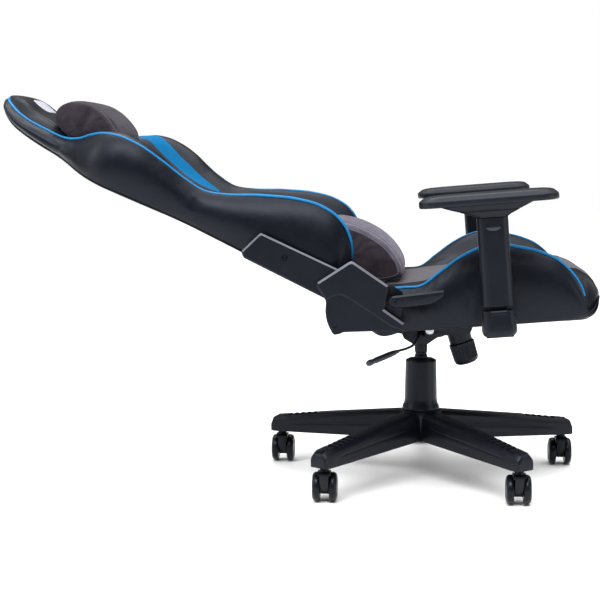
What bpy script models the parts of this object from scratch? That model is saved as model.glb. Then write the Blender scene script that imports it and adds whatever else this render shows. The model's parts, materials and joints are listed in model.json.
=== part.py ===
"""A racing-style gaming chair, leaning back as far as it goes, on a five-star caster base.

Metres, +Z up. The chair faces +X and its left side is +Y. The origin lies on the floor, under
the middle of the chair's box, so the gas column stands at COLUMN_X.

Three frames hold the pieces: the world for the base and column, SEAT for what rocks on the tilt
pivot, and BACK for what turns on the recline pivot. In BACK, z runs up the backrest and x out of
its front. In SEAT, x runs forward along the seat and z out of its top.
"""

from math import cos, pi, radians, sin

import bmesh
import bpy
from mathutils import Vector

# Driving dimensions
COLUMN_X = 0.266
GAP = 0.0003

BASE_ARMS = 5
FIRST_ARM_ANGLE = radians(18)
STEM_RADIUS = 0.330
ARM_END_RADIUS = 0.353
HUB_RADIUS, HUB_LOW, HUB_HIGH = 0.047, 0.078, 0.146

WHEEL_SIDES = 20
WHEEL_RADIUS = 0.030 / cos(pi / WHEEL_SIDES)
WHEEL_WIDTH = 0.0155
WHEEL_SPACING = 0.0345
CASTER_TRAIL = 0.020
AXLE_HEIGHT, AXLE_SIZE = 0.030, 0.0038
ARM_UNDERSIDE = 0.0745
STEM_SIZE, STEM_TOP = 0.005, 0.098

TUBE_RADIUS, TUBE_LOW, TUBE_HIGH = 0.0245, 0.082, 0.243
CYLINDER_RADIUS, CYLINDER_LOW, CYLINDER_HIGH = 0.014, 0.098, 0.312
COVER_LOW, COVER_HIGH = HUB_HIGH + GAP, 0.255

TILT_PIVOT = Vector((0.018, 0.0, 0.324))
PIVOT_BORE = 0.0056
SEAT_SLOPE = radians(4.3)
RECLINE_PIVOT = Vector((-0.130, 0.0, 0.408))
CROSS_SHAFT_BORE = 0.0066
BACK_LEAN = radians(63.4)
SEAT_HALF_WIDTH = 0.2625

PLATE_TOP = 0.0212
FLANGE_Y = (0.0418, 0.0455)
KNOB_TOP = Vector((0.0818, 0.0, 0.310))
KNOB_LEAN = radians(17)

ARM_CENTRE_X, ARM_CENTRE_Y = 0.1325, 0.330
ARM_CORE_HALF = (0.0165, 0.0075)
SLEEVE_LENGTH_X, SLEEVE_WIDTH_Y = 0.057, 0.038
SOCKET_LOW, SOCKET_HIGH = 0.0215, 0.067
SLEEVE_LOW, SLEEVE_HIGH = 0.0745, 0.2450
PAD_LOW, PAD_HIGH = 0.2710, 0.2945

# The layers of the recline hinge, as distances from the chair's middle plane
SEAT_PLATE_Y = (0.2635, 0.2675)
BACK_PLATE_Y = (0.2680, 0.2720)
BRACKET_COVER_Y = (0.2724, 0.2784)
HINGE_COVER_Y = (0.2724, 0.2905)
LEVER_Y = (0.2790, 0.2920)
COVER_WALL = 0.0035

SIDES = {"right": -1, "left": 1}


# Scene helpers

def clear_scene():
    for item in list(bpy.data.objects):
        bpy.data.objects.remove(item)


def make_material(name, color, roughness, metallic=0.0):
    material = bpy.data.materials.new(name)
    material.use_nodes = True
    shader = material.node_tree.nodes["Principled BSDF"]
    shader.inputs["Base Color"].default_value = (*color, 1)
    shader.inputs["Roughness"].default_value = roughness
    shader.inputs["Metallic"].default_value = metallic
    material.diffuse_color = (*color, 1)
    return material


def make_empty(name, location=(0, 0, 0), turn_y=0.0, parent=None, turn_z=0.0):
    item = bpy.data.objects.new(name, None)
    bpy.context.collection.objects.link(item)
    item.parent = parent
    item.location = location
    item.rotation_euler = (0, turn_y, turn_z)
    return item


def add_object(name, mesh, material, parent, smooth=False):
    item = bpy.data.objects.new(name, mesh)
    bpy.context.collection.objects.link(item)
    item.parent = parent
    if material:
        mesh.materials.append(material)
    if smooth:
        mesh.shade_smooth()
        mesh.set_sharp_from_angle(angle=radians(35))
    return item


def mesh_from(name, vertices, faces):
    mesh = bpy.data.meshes.new(name)
    mesh.from_pydata([tuple(v) for v in vertices], [], faces)
    shape = bmesh.new()
    shape.from_mesh(mesh)
    bmesh.ops.recalc_face_normals(shape, faces=shape.faces)
    shape.to_mesh(mesh)
    shape.free()
    return mesh


def loft_mesh(name, rings, closed=False):
    """A closed skin over rings of equal point counts, capped unless the last joins the first."""
    count = len(rings[0])
    vertices = [point for ring in rings for point in ring]
    spans = len(rings) if closed else len(rings) - 1
    faces = []
    for i in range(spans):
        low, high = i * count, (i + 1) % len(rings) * count
        for j in range(count):
            k = (j + 1) % count
            faces.append((low + j, low + k, high + k, high + j))
    if not closed:
        faces.append(tuple(range(count)))
        faces.append(tuple(range((len(rings) - 1) * count, len(rings) * count)))
    return mesh_from(name, vertices, faces)


def turned_mesh(name, profile, sides=20, start=0.5):
    """Turns (radius, height) points about Z. Ends on the axis close to a point, others as a ring."""
    vertices, rows = [], []
    for radius, height in profile:
        if radius == 0:
            rows.append([len(vertices)])
            vertices.append((0, 0, height))
            continue
        rows.append(list(range(len(vertices), len(vertices) + sides)))
        for k in range(sides):
            angle = 2 * pi * (k + start) / sides
            vertices.append((radius * cos(angle), radius * sin(angle), height))
    pairs = list(zip(rows, rows[1:]))
    if len(rows[0]) > 1:
        pairs.append((rows[-1], rows[0]))
    faces = []
    for low, high in pairs:
        for j in range(sides):
            k = (j + 1) % sides
            corners = (low[j % len(low)], low[k % len(low)], high[k % len(high)], high[j % len(high)])
            faces.append(tuple(dict.fromkeys(corners)))
    return mesh_from(name, vertices, faces)


def prism_mesh(name, outline, low, high):
    """An (x, z) outline pulled along Y from low to high."""
    rings = [[(x, y, z) for x, z in outline] for y in (low, high)]
    return loft_mesh(name, rings)


def box_mesh(name, low, high):
    outline = ((low[0], low[2]), (high[0], low[2]), (high[0], high[2]), (low[0], high[2]))
    return prism_mesh(name, outline, low[1], high[1])


def rounded_box(half_x, half_y, corner, steps=3):
    """The (x, y) outline of a rectangle with round corners, about its middle."""
    points = []
    for quarter, (sx, sy) in enumerate(((1, 1), (-1, 1), (-1, -1), (1, -1))):
        for i in range(steps + 1):
            angle = pi / 2 * (quarter + i / steps)
            x = sx * (half_x - corner) + corner * cos(angle)
            y = sy * (half_y - corner) + corner * sin(angle)
            points.append((x, y))
    return points


def rod_mesh(name, points, radius, sides=10):
    """A round rod along a path of straight stretches."""
    path = [Vector(point) for point in points]
    rings = []
    side = Vector((1, 0, 0))
    for i, point in enumerate(path):
        ahead = path[min(i + 1, len(path) - 1)] - path[max(i - 1, 0)]
        ahead.normalize()
        side = (side - ahead * side.dot(ahead)).normalized()
        other = ahead.cross(side)
        ring = []
        for k in range(sides):
            angle = 2 * pi * k / sides
            ring.append(point + radius * (side * cos(angle) + other * sin(angle)))
        rings.append(ring)
    return loft_mesh(name, rings)


def use_tool(item, tool, operation):
    """Joins a hidden tool to the item, or cuts it away, with a Boolean."""
    tool.hide_render = True
    tool.display_type = "WIRE"
    modifier = item.modifiers.new(tool.name, "BOOLEAN")
    modifier.operation = operation
    modifier.object = tool


def cut(item, mesh, parent=None):
    use_tool(item, add_object(mesh.name, mesh, None, parent or item.parent), "DIFFERENCE")


def join(item, mesh, parent=None):
    use_tool(item, add_object(mesh.name, mesh, None, parent or item.parent), "UNION")


def bar_profile(radius, low, high):
    """A turned profile for a plain round bar, or for the tool that drills its hole."""
    return ((0, low), (radius, low), (radius, high), (0, high))


def drill(item, name, radius, low, high, place, sides=12):
    cut(item, turned_mesh(name, bar_profile(radius, low, high), sides), place)


def span(sign, distances):
    """Two distances from the middle plane as (low, high) y on that side of the chair."""
    return sorted(sign * distance for distance in distances)


# Base and casters

def make_base(material):
    base = add_object("base_star", turned_mesh("base_star", hub_profile(), 30), material, None)
    base.location = (COLUMN_X, 0, 0)
    for k in range(BASE_ARMS):
        turn = make_empty(f"base_arm_turn_{k + 1}", (COLUMN_X, 0, 0), turn_z=arm_angle(k))
        join(base, arm_mesh(f"base_arm_{k + 1}"), turn)
    centre = make_empty("hub_centre", (COLUMN_X, 0, 0))
    drill(base, "hub_bore", TUBE_RADIUS + GAP, 0.06, 0.16, centre, 20)
    for k in range(BASE_ARMS):
        place = make_empty(f"stem_place_{k + 1}", stem_place(k))
        drill(base, f"stem_hole_{k + 1}", STEM_SIZE + 0.0008, 0.06, STEM_TOP + 0.002, place)


def hub_profile():
    return ((0, HUB_LOW), (0.036, HUB_LOW), (0.042, 0.083), (HUB_RADIUS, 0.138),
            (0.045, HUB_HIGH), (0, HUB_HIGH))


def arm_angle(k):
    return FIRST_ARM_ANGLE + k * 2 * pi / BASE_ARMS


def stem_place(k):
    angle = arm_angle(k)
    return Vector((COLUMN_X + STEM_RADIUS * cos(angle), STEM_RADIUS * sin(angle), 0))


def arm_mesh(name):
    """One arm of the star along +X: wide below, with chamfers up to a narrower top."""
    sections = (  # distance out, half width, low, high
        (0.025, 0.0250, 0.0830, 0.1450),
        (0.180, 0.0225, 0.0795, 0.1300),
        (0.315, 0.0210, 0.0750, 0.1130),
        (0.345, 0.0205, 0.0750, 0.1090),
        (ARM_END_RADIUS, 0.0150, 0.0775, 0.1050),
    )
    chamfer = 0.010
    rings = []
    for out, half, low, high in sections:
        flat = half - chamfer
        below = high - chamfer
        ring = ((-half, low), (half, low), (half, below), (flat, high), (-flat, high), (-half, below))
        rings.append([(out, y, z) for y, z in ring])
    return loft_mesh(name, rings)


def make_caster(k, materials):
    swivel = make_empty(f"caster_swivel_axis_{k + 1}", stem_place(k))
    name = f"caster_hood_{k + 1}"
    hood = add_object(name, hood_mesh(name), materials["plastic"], swivel)
    shoulder = ARM_UNDERSIDE - GAP
    stem = ((0, 0.050), (0.009, 0.050), (0.009, shoulder), (STEM_SIZE, shoulder), (STEM_SIZE, STEM_TOP),
            (0, STEM_TOP))
    join(hood, turned_mesh(f"caster_stem_{k + 1}", stem, 12), swivel)
    axle_place = (0, CASTER_TRAIL, AXLE_HEIGHT)
    axle = make_empty(f"wheel_axle_axis_{k + 1}", axle_place, turn_y=pi / 2, parent=swivel)
    drill(hood, f"axle_hole_{k + 1}", AXLE_SIZE + 0.0004, -0.02, 0.02, axle, 10)
    for end, sign in (("front", 1), ("rear", -1)):
        name = f"caster_wheel_{end}_{k + 1}"
        add_object(name, wheel_mesh(name, sign), materials["wheel"], axle, smooth=True)


def hood_mesh(name):
    """The body between the two wheels: an arch over the axle, seen from the side."""
    outline = [(-0.020, 0.062), (-0.012, 0.066), (0.012, 0.066)]
    arch = 7
    for i in range(arch):
        angle = radians(75 - i * 105 / (arch - 1))
        outline.append((CASTER_TRAIL + 0.030 * cos(angle), AXLE_HEIGHT + 0.031 * sin(angle)))
    outline += [(0.030, 0.017), (0.012, 0.017), (-0.010, 0.034)]
    half = 0.0087
    rings = [[(x, y, z) for y, z in outline] for x in (-half, half)]
    return loft_mesh(name, rings)


def wheel_mesh(name, sign):
    """A wheel about its axle with a round-edged tread. The front one carries the axle."""
    inner = WHEEL_SPACING / 2 - WHEEL_WIDTH / 2
    outer = inner + WHEEL_WIDTH
    rim = WHEEL_RADIUS
    profile = [(0, inner), (rim - 0.004, inner), (rim, inner + 0.003), (rim, outer - 0.004),
               (rim - 0.006, outer), (0, outer)]
    if sign > 0:
        profile[:1] = [(0, GAP - inner), (AXLE_SIZE, GAP - inner), (AXLE_SIZE, inner)]
    return turned_mesh(name, [(radius, sign * height) for radius, height in profile], WHEEL_SIDES)


# Gas column

def make_column(materials):
    centre = make_empty("column_axis", (COLUMN_X, 0, 0))
    inner = 0.0205
    floor = TUBE_LOW + 0.0042
    tube = ((0, TUBE_LOW), (TUBE_RADIUS, TUBE_LOW), (TUBE_RADIUS, TUBE_HIGH), (inner, TUBE_HIGH),
            (inner, floor), (0, floor))
    bushing = ((inner - GAP, 0.205), (inner - GAP, 0.240), (0.0145, 0.240), (0.0145, 0.205))
    bearing = ((0.0135, floor + GAP), (0.0135, 0.0935), (0.0056, 0.0935), (0.0056, floor + GAP))
    rod = bar_profile(0.005, floor + GAP, 0.268)
    cylinder = ((0, 0.290), (0.0056, 0.290), (0.0056, CYLINDER_LOW), (CYLINDER_RADIUS, CYLINDER_LOW),
                (CYLINDER_RADIUS, CYLINDER_HIGH), (0.0038, CYLINDER_HIGH), (0.0038, 0.298), (0, 0.298))
    pin = bar_profile(0.0033, 0.305, 0.317)
    for name, profile, material in (
        ("gas_outer_tube", tube, "steel"),
        ("gas_bushing", bushing, "wheel"),
        ("thrust_bearing", bearing, "bright"),
        ("gas_piston_rod", rod, "bright"),
        ("gas_cylinder", cylinder, "steel"),
        ("gas_valve_pin", pin, "bright"),
    ):
        add_object(name, turned_mesh(name, profile, 16), materials[material], centre, smooth=True)
    lower = ((0.0400, COVER_LOW), (0.0400, 0.153), (0.0352, 0.166), (0.0332, COVER_HIGH),
             (0.0314, COVER_HIGH), (0.0314, COVER_LOW))
    middle = ((0.0310, 0.150), (0.0310, 0.2545), (0.0294, 0.2545), (0.0294, 0.150))
    upper = ((0.0290, 0.151), (0.0290, 0.2575), (0.0146, 0.2575), (0.0146, 0.2555), (0.0276, 0.2555),
             (0.0276, 0.151))
    for name, profile in (("lower", lower), ("middle", middle), ("upper", upper)):
        mesh = turned_mesh(f"column_cover_{name}", profile, 24)
        add_object(f"column_cover_{name}", mesh, materials["plastic"], centre, smooth=True)


# Tilt mechanism

def make_mechanism(materials, seat):
    pivot = TILT_PIVOT + Vector((COLUMN_X, 0, 0))
    tilt_axis = make_empty("tilt_axis", pivot)
    outline = [(-0.042, 0.3175), (-0.037, 0.3055), (-0.018, 0.2935), (0.014, 0.2935), (0.034, 0.3075),
               (0.048, 0.3105), (0.048, 0.3310), (0.020, 0.3320), (0.000, 0.3270)]
    mesh = prism_mesh("mechanism_housing", from_column(outline, TILT_PIVOT), -0.0395, 0.0395)
    housing = add_object("mechanism_housing", mesh, materials["steel"], tilt_axis)
    centre = make_empty("housing_bore_place", (COLUMN_X, 0, 0))
    drill(housing, "cylinder_bore", CYLINDER_RADIUS + 0.0007, 0.28, CYLINDER_HIGH + 0.0007, centre, 16)
    cut(housing, box_mesh("lever_slot", (-0.0075, -0.05, 0.3122), (0.0075, 0.009, 0.3236)), centre)
    across = make_empty("pivot_bore_place", pivot)
    across.rotation_euler = (pi / 2, 0, 0)
    drill(housing, "pivot_bore", PIVOT_BORE, -0.06, 0.06, across)
    shaft = ((0, -0.0500), (0.0050, -0.0500), (0.0050, 0.0458), (0.0090, 0.0458), (0.0090, 0.0500),
             (0.0060, 0.0520), (0, 0.0520))
    mesh = turned_mesh("tilt_pivot_shaft", shaft, 12)
    add_object("tilt_pivot_shaft", mesh, materials["bright"], across)
    make_height_lever(materials)
    make_tilt_plate(materials, seat, across)


def make_height_lever(materials):
    start = Vector((0, -0.040, 0.3203))
    axis = make_empty("height_lever_axis", start + Vector((COLUMN_X, 0, 0)))
    bend = Vector((-0.051, -0.110, 0.287))
    end = Vector((-0.108, -0.220, 0.278))
    along = (end - bend).normalized()
    path = [Vector((0, 0.005, 0.3203)), Vector((0, -0.046, 0.3203)), Vector((-0.005, -0.053, 0.312)),
            Vector((-0.016, -0.062, 0.296)), bend - along * 0.012, bend - along * GAP]
    rod = rod_mesh("height_lever", [point - start for point in path], 0.0028, 8)
    add_object("height_lever", rod, materials["steel"], axis, smooth=True)
    grip = rod_mesh("height_lever_grip", (bend - start, end - start), 0.0058, 12)
    add_object("height_lever_grip", grip, materials["plastic"], axis, smooth=True)


def make_tilt_plate(materials, seat, pivot_place):
    mesh = box_mesh("tilt_plate", (-0.100, -0.090, 0.0140), (0.165, 0.090, PLATE_TOP))
    plate = add_object("tilt_plate", mesh, materials["steel"], seat)
    flange = [(-0.010, 0.016), (-0.010, -0.006), (-0.003, -0.0135), (0.085, -0.0135), (0.100, 0.016)]
    for side, sign in SIDES.items():
        join(plate, prism_mesh(f"tilt_flange_{side}", flange, *span(sign, FLANGE_Y)), seat)
    knob_axis = make_empty("tension_knob_axis", KNOB_TOP + Vector((COLUMN_X, 0, 0)), turn_y=-KNOB_LEAN)
    cup = ((0.0205, -0.0160), (0.0250, -0.0160), (0.0250, 0.0330), (0.0205, 0.0330))
    join(plate, turned_mesh("spring_cup", cup, 20), knob_axis)
    drill(plate, "flange_bore", PIVOT_BORE, -0.06, 0.06, pivot_place)
    knob = ((0, -0.0650), (0.0180, -0.0635), (0.0255, -0.0585), (0.0270, -0.0500), (0.0280, -0.0170),
            (0.0040, -0.0170), (0.0040, 0.0220), (0, 0.0220))
    mesh = turned_mesh("tension_knob", knob, 20)
    add_object("tension_knob", mesh, materials["plastic"], knob_axis, smooth=True)
    turns, steps = 4, 10
    coil = []
    for i in range(turns * steps + 1):
        angle = 2 * pi * i / steps
        coil.append((0.0130 * cos(angle), 0.0130 * sin(angle), -0.0140 + 0.0340 * i / (turns * steps)))
    mesh = rod_mesh("tension_spring", coil, 0.0020, 6)
    add_object("tension_spring", mesh, materials["bright"], knob_axis)


# Seat

SEAT_SHAPE = (  # x, half width, edge height, middle height, low edge, low middle
    (-0.124, 0.250, 0.094, 0.092, 0.036, 0.0400),
    (-0.112, 0.258, 0.106, 0.104, 0.0265, 0.0360),
    (-0.050, 0.2625, 0.114, 0.115, 0.0265, 0.0360),
    (-0.010, 0.2625, 0.115, 0.118, 0.0265, 0.0360),
    (0.030, 0.2625, 0.141, 0.120, 0.0265, 0.0360),
    (0.068, 0.2625, 0.165, 0.120, 0.0265, 0.0360),
    (0.103, 0.2625, 0.180, 0.119, 0.0265, 0.0360),
    (0.141, 0.2625, 0.186, 0.119, 0.0265, 0.0360),
    (0.186, 0.2625, 0.178, 0.119, 0.0265, 0.0360),
    (0.231, 0.2625, 0.163, 0.119, 0.0265, 0.0360),
    (0.262, 0.2620, 0.145, 0.121, 0.0265, 0.0360),
    (0.284, 0.2590, 0.122, 0.122, 0.0255, 0.0360),
    (0.298, 0.2520, 0.098, 0.119, 0.0230, 0.0310),
    (0.310, 0.2430, 0.074, 0.114, 0.0200, 0.0260),
    (0.328, 0.2260, 0.070, 0.103, 0.0250, 0.0270),
    (0.341, 0.2050, 0.066, 0.086, 0.0380, 0.0390),
    (0.347, 0.1780, 0.062, 0.070, 0.0500, 0.0500),
)
PANEL_HALF_WIDTH = 0.2120


def seat_ring(x, half, edge, middle, low, low_middle):
    foot = half - 0.095
    right = [(PANEL_HALF_WIDTH * half / SEAT_HALF_WIDTH + 0.004, low_middle), (half - 0.040, low),
             (half - 0.016, low + 0.002), (half, (low + edge) / 2), (half, edge - 0.008),
             (half - 0.010, edge), (half - 0.050, (edge + middle) / 2 + 0.003), (foot, middle)]
    ring = [(x, 0, low_middle)] + [(x, y, z) for y, z in right] + [(x, 0, middle)]
    return ring + [(x, -y, z) for y, z in reversed(right)]


def make_seat(materials, seat):
    rings = [seat_ring(*row) for row in SEAT_SHAPE]
    add_object("seat_cushion", loft_mesh("seat_cushion", rings), materials["leather"], seat, smooth=True)
    low, high = (-0.110, -PANEL_HALF_WIDTH, PLATE_TOP + GAP), (0.280, PANEL_HALF_WIDTH, 0.0357)
    add_object("seat_base_panel", box_mesh("seat_base_panel", low, high), materials["wood"], seat)


# Armrests

def standing_mesh(name, layers, corner, steps=3):
    """A loft of round-cornered rectangles: (z, half x, half y, middle x) for each layer."""
    rings = []
    for z, half_x, half_y, middle_x in layers:
        rings.append([(middle_x + x, y, z) for x, y in rounded_box(half_x, half_y, corner, steps)])
    return loft_mesh(name, rings)


def make_armrest(side, sign, materials, seat):
    post = make_empty(f"arm_axis_{side}", (ARM_CENTRE_X, sign * ARM_CENTRE_Y, 0), parent=seat)
    half_x, half_y = SLEEVE_LENGTH_X / 2, SLEEVE_WIDTH_Y / 2
    make_arm_bracket(side, sign, materials["steel"], post)
    socket = (
        (SOCKET_LOW, half_x + 0.001, half_y, 0.0),
        (0.028, half_x + 0.0035, half_y + 0.003, 0.0),
        (SOCKET_HIGH - 0.004, half_x + 0.001, half_y + 0.001, 0.0),
        (SOCKET_HIGH, half_x, half_y, 0.0),
    )
    sleeve = ((SLEEVE_LOW, half_x, half_y, 0.0), (SLEEVE_HIGH, half_x, half_y, 0.0))
    mount = (
        (SLEEVE_HIGH + GAP, half_x + 0.006, half_y + 0.002, 0.000),
        (0.2530, 0.052, 0.024, -0.002),
        (0.2650, 0.080, 0.030, -0.008),
        (PAD_LOW - GAP, 0.088, 0.032, -0.009),
    )
    pad = (
        (PAD_LOW, 0.122, 0.040, -0.005),
        (0.2755, 0.131, 0.047, -0.005),
        (0.2835, 0.132, 0.048, -0.005),
        (0.2915, 0.122, 0.042, -0.004),
        (PAD_HIGH, 0.108, 0.032, -0.002),
    )
    made = {}
    for name, layers, corner, steps, material in (
        ("arm_socket", socket, 0.012, 3, "plastic"),
        ("arm_sleeve", sleeve, 0.012, 3, "plastic"),
        ("arm_pad_mount", mount, 0.012, 3, "plastic"),
        ("arm_pad", pad, 0.030, 4, "rubber"),
    ):
        mesh = standing_mesh(f"{name}_{side}", layers, corner, steps)
        made[name] = add_object(f"{name}_{side}", mesh, materials[material], post, smooth=True)
    core_x, core_y = ARM_CORE_HALF
    for name in ("arm_socket", "arm_sleeve"):
        hollow = box_mesh(f"{name}_bore_{side}", (-core_x, -core_y, 0.0), (core_x, core_y, 0.2))
        cut(made[name], hollow)
    face = sign * half_y
    recess_y = sorted((face - sign * 0.0068, 2 * face))
    cut(made["arm_sleeve"], prism_mesh(f"button_recess_{side}", half_moon(0.0006), *recess_y))
    button_y = sorted((face - sign * 0.0025, face + sign * 0.0015))
    button = prism_mesh(f"arm_button_{side}", half_moon(0.0), *button_y)
    add_object(f"arm_button_{side}", button, materials["plastic"], post)


def make_arm_bracket(side, sign, material, post):
    """A flat bar under the seat board, with the upright core that the armrest slides on."""
    low_y, high_y = sorted((-sign * (ARM_CENTRE_Y - 0.100), sign * 0.014))
    mesh = box_mesh(f"arm_bracket_{side}", (-0.026, low_y, 0.0150), (0.026, high_y, PLATE_TOP))
    bracket = add_object(f"arm_bracket_{side}", mesh, material, post)
    core_x, core_y = (half - 0.0005 for half in ARM_CORE_HALF)
    join(bracket, box_mesh(f"arm_core_{side}", (-core_x, -core_y, 0.0180), (core_x, core_y, 0.1900)))


def half_moon(grow):
    """The (x, z) outline of the height button: flat above and round below."""
    top, reach, drop = 0.2275 + grow, 0.014 + grow, 0.008 + 2 * grow
    steps = 6
    angles = [pi * i / steps for i in range(steps + 1)]
    return [(reach * cos(angle), top - drop * sin(angle)) for angle in angles]


# Back

BACK_SHAPE = (  # z, half width, edge front, middle front, rear
    (0.047, 0.236, 0.070, 0.020, -0.008),
    (0.058, 0.250, 0.092, 0.023, -0.018),
    (0.080, 0.259, 0.117, 0.026, -0.023),
    (0.105, 0.262, 0.131, 0.026, -0.025),
    (0.145, 0.262, 0.137, 0.026, -0.025),
    (0.200, 0.260, 0.127, 0.026, -0.025),
    (0.260, 0.256, 0.104, 0.026, -0.025),
    (0.330, 0.252, 0.074, 0.026, -0.025),
    (0.370, 0.252, 0.062, 0.026, -0.025),
    (0.415, 0.257, 0.066, 0.026, -0.026),
    (0.470, 0.270, 0.079, 0.027, -0.028),
    (0.525, 0.281, 0.088, 0.029, -0.030),
    (0.570, 0.279, 0.086, 0.031, -0.032),
    (0.603, 0.262, 0.075, 0.033, -0.032),
    (0.632, 0.228, 0.056, 0.034, -0.032),
    (0.660, 0.190, 0.032, 0.034, -0.031),
    (0.690, 0.165, 0.019, 0.034, -0.029),
    (0.745, 0.156, 0.016, 0.035, -0.025),
    (0.782, 0.153, 0.017, 0.038, -0.020),
    (0.810, 0.146, 0.021, 0.048, -0.013),
    (0.832, 0.132, 0.027, 0.048, -0.004),
    (0.850, 0.108, 0.033, 0.042, 0.006),
    (0.862, 0.070, 0.033, 0.036, 0.018),
)
# Side profiles of the pillows on the back's front, as (x, z)
HEAD_PILLOW = ((0.042, 0.600), (0.048, 0.591), (0.070, 0.593), (0.088, 0.611), (0.100, 0.641),
               (0.103, 0.676), (0.097, 0.712), (0.081, 0.737), (0.059, 0.744), (0.042, 0.734))
LUMBAR_PILLOW = ((0.031, 0.150), (0.031, 0.000), (0.045, -0.030), (0.066, -0.062), (0.078, -0.072),
                 (0.094, -0.062), (0.112, -0.035), (0.125, 0.000), (0.130, 0.035), (0.127, 0.080),
                 (0.112, 0.125), (0.085, 0.153), (0.050, 0.162))
HEAD_PILLOW_HALF, LUMBAR_PILLOW_HALF = 0.137, 0.160


def back_ring(z, half, edge, middle, rear):
    foot = max(half - 0.088, 0.35 * half)
    depth = min(edge, middle) - rear
    right = [(rear, 0.72 * half), (rear + 0.25 * depth, half - 0.008), (rear + 0.7 * depth, half),
             (edge - 0.004, half), (edge, half - 0.009), ((edge + middle) / 2 + 0.003, (half + foot) / 2),
             (middle + 0.002, foot)]
    ring = [(rear, 0, z)] + [(x, y, z) for x, y in right] + [(middle, 0, z)]
    return ring + [(x, -y, z) for x, y in reversed(right)]


def make_back(materials, back):
    rings = [back_ring(*row) for row in BACK_SHAPE]
    add_object("back_cushion", loft_mesh("back_cushion", rings), materials["leather"], back, smooth=True)
    shaft = make_empty("cross_shaft_place", (0, 0, 0), parent=back)
    shaft.rotation_euler = (pi / 2, 0, 0)
    mesh = turned_mesh("recline_cross_shaft", bar_profile(0.006, -0.2770, 0.2770), 12)
    add_object("recline_cross_shaft", mesh, materials["steel"], shaft)
    for name, profile, half in (
        ("head_pillow", HEAD_PILLOW, HEAD_PILLOW_HALF),
        ("lumbar_pillow", LUMBAR_PILLOW, LUMBAR_PILLOW_HALF),
    ):
        mesh = pillow_mesh(name, profile, half)
        add_object(name, mesh, materials["plush"], back, smooth=True)


def pillow_mesh(name, profile, half):
    """A side profile carried across the chair, drawn in towards its middle at both ends."""
    middle_z = sum(z for _, z in profile) / len(profile)
    base_x = min(x for x, _ in profile)
    ends = ((1.0, 0.62), (0.97, 0.80), (0.88, 0.92), (0.60, 1.0))
    stations = [(-share, size) for share, size in ends]
    stations += [(share, size) for share, size in reversed(ends)]
    rings = []
    for share, size in stations:
        height = 0.4 + 0.6 * size
        ring = []
        for x, z in profile:
            ring.append((base_x + (x - base_x) * size, share * half, middle_z + (z - middle_z) * height))
        rings.append(ring)
    return loft_mesh(name, rings)


# Recline hinge

PLATE_OUTLINE = ((-0.158, 0.372), (-0.046, 0.360), (-0.038, 0.398), (-0.038, 0.428), (-0.062, 0.444),
                 (-0.120, 0.424), (-0.142, 0.420), (-0.158, 0.404))
COVER_OUTLINE = ((-0.174, 0.344), (-0.162, 0.346), (-0.154, 0.350), (-0.072, 0.356), (-0.036, 0.349),
                 (-0.034, 0.368), (-0.074, 0.396), (-0.065, 0.442), (-0.138, 0.492), (-0.206, 0.448),
                 (-0.206, 0.439), (-0.188, 0.412), (-0.190, 0.389), (-0.186, 0.367))
COVER_HOLLOW = ((-0.170, 0.352), (-0.045, 0.360), (-0.044, 0.366), (-0.082, 0.394), (-0.072, 0.446),
                (-0.050, 0.520), (-0.240, 0.520), (-0.240, 0.402), (-0.185, 0.402), (-0.186, 0.389),
                (-0.182, 0.367))
BACK_ARM = ((-0.016, -0.010), (-0.006, -0.018), (0.006, -0.018), (0.016, -0.010), (0.018, 0.030),
            (0.026, 0.060), (0.026, 0.200), (-0.016, 0.200), (-0.018, 0.030))
BRACKET_OUTLINE = ((-0.0220, 0.0470), (0.0440, 0.0470), (0.0430, 0.0700), (0.0390, 0.2295),
                   (-0.0220, 0.2510))
LEVER_PIVOT = (-0.0644, 0.0921)
LEVER_OUTLINE = ((-0.0620, 0.0795), (0.0080, 0.0830), (0.0300, 0.0960), (0.0360, 0.1035),
                 (0.0330, 0.1075), (-0.0580, 0.1035), (-0.0700, 0.1030), (-0.0760, 0.0980),
                 (-0.0775, 0.0915), (-0.0740, 0.0835))


def from_column(outline, place):
    """Moves an outline given from the foot of the column into the frame of a place on it."""
    return [(x - place.x, z - place.z) for x, z in outline]


def make_hinge(side, sign, materials, back):
    """One side's hinge, in layers outwards: seat plate, back arm, bracket cover and hinge cover."""
    axis = make_empty(f"recline_axis_{side}", RECLINE_PIVOT + Vector((COLUMN_X, 0, 0)))
    bore = make_empty(f"hinge_bore_place_{side}", RECLINE_PIVOT + Vector((COLUMN_X, 0, 0)))
    bore.rotation_euler = (pi / 2, 0, 0)
    made = {}
    for name, outline, layer, material, parent in (
        ("seat_hinge_plate", from_column(PLATE_OUTLINE, RECLINE_PIVOT), SEAT_PLATE_Y, "steel", axis),
        ("back_hinge_arm", BACK_ARM, BACK_PLATE_Y, "steel", back),
        ("back_bracket_cover", BRACKET_OUTLINE, BRACKET_COVER_Y, "plastic", back),
        ("hinge_cover", from_column(COVER_OUTLINE, RECLINE_PIVOT), HINGE_COVER_Y, "plastic", axis),
    ):
        mesh = prism_mesh(f"{name}_{side}", outline, *span(sign, layer))
        made[name] = add_object(f"{name}_{side}", mesh, materials[material], parent)
    for name in ("seat_hinge_plate", "back_hinge_arm"):
        drill(made[name], f"{name}_bore_{side}", CROSS_SHAFT_BORE, -0.3, 0.3, bore)
    hollow_y = span(sign, (0.26, HINGE_COVER_Y[1] - COVER_WALL))
    hollow = prism_mesh(f"hinge_hollow_{side}", from_column(COVER_HOLLOW, RECLINE_PIVOT), *hollow_y)
    cut(made["hinge_cover"], hollow)


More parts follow.
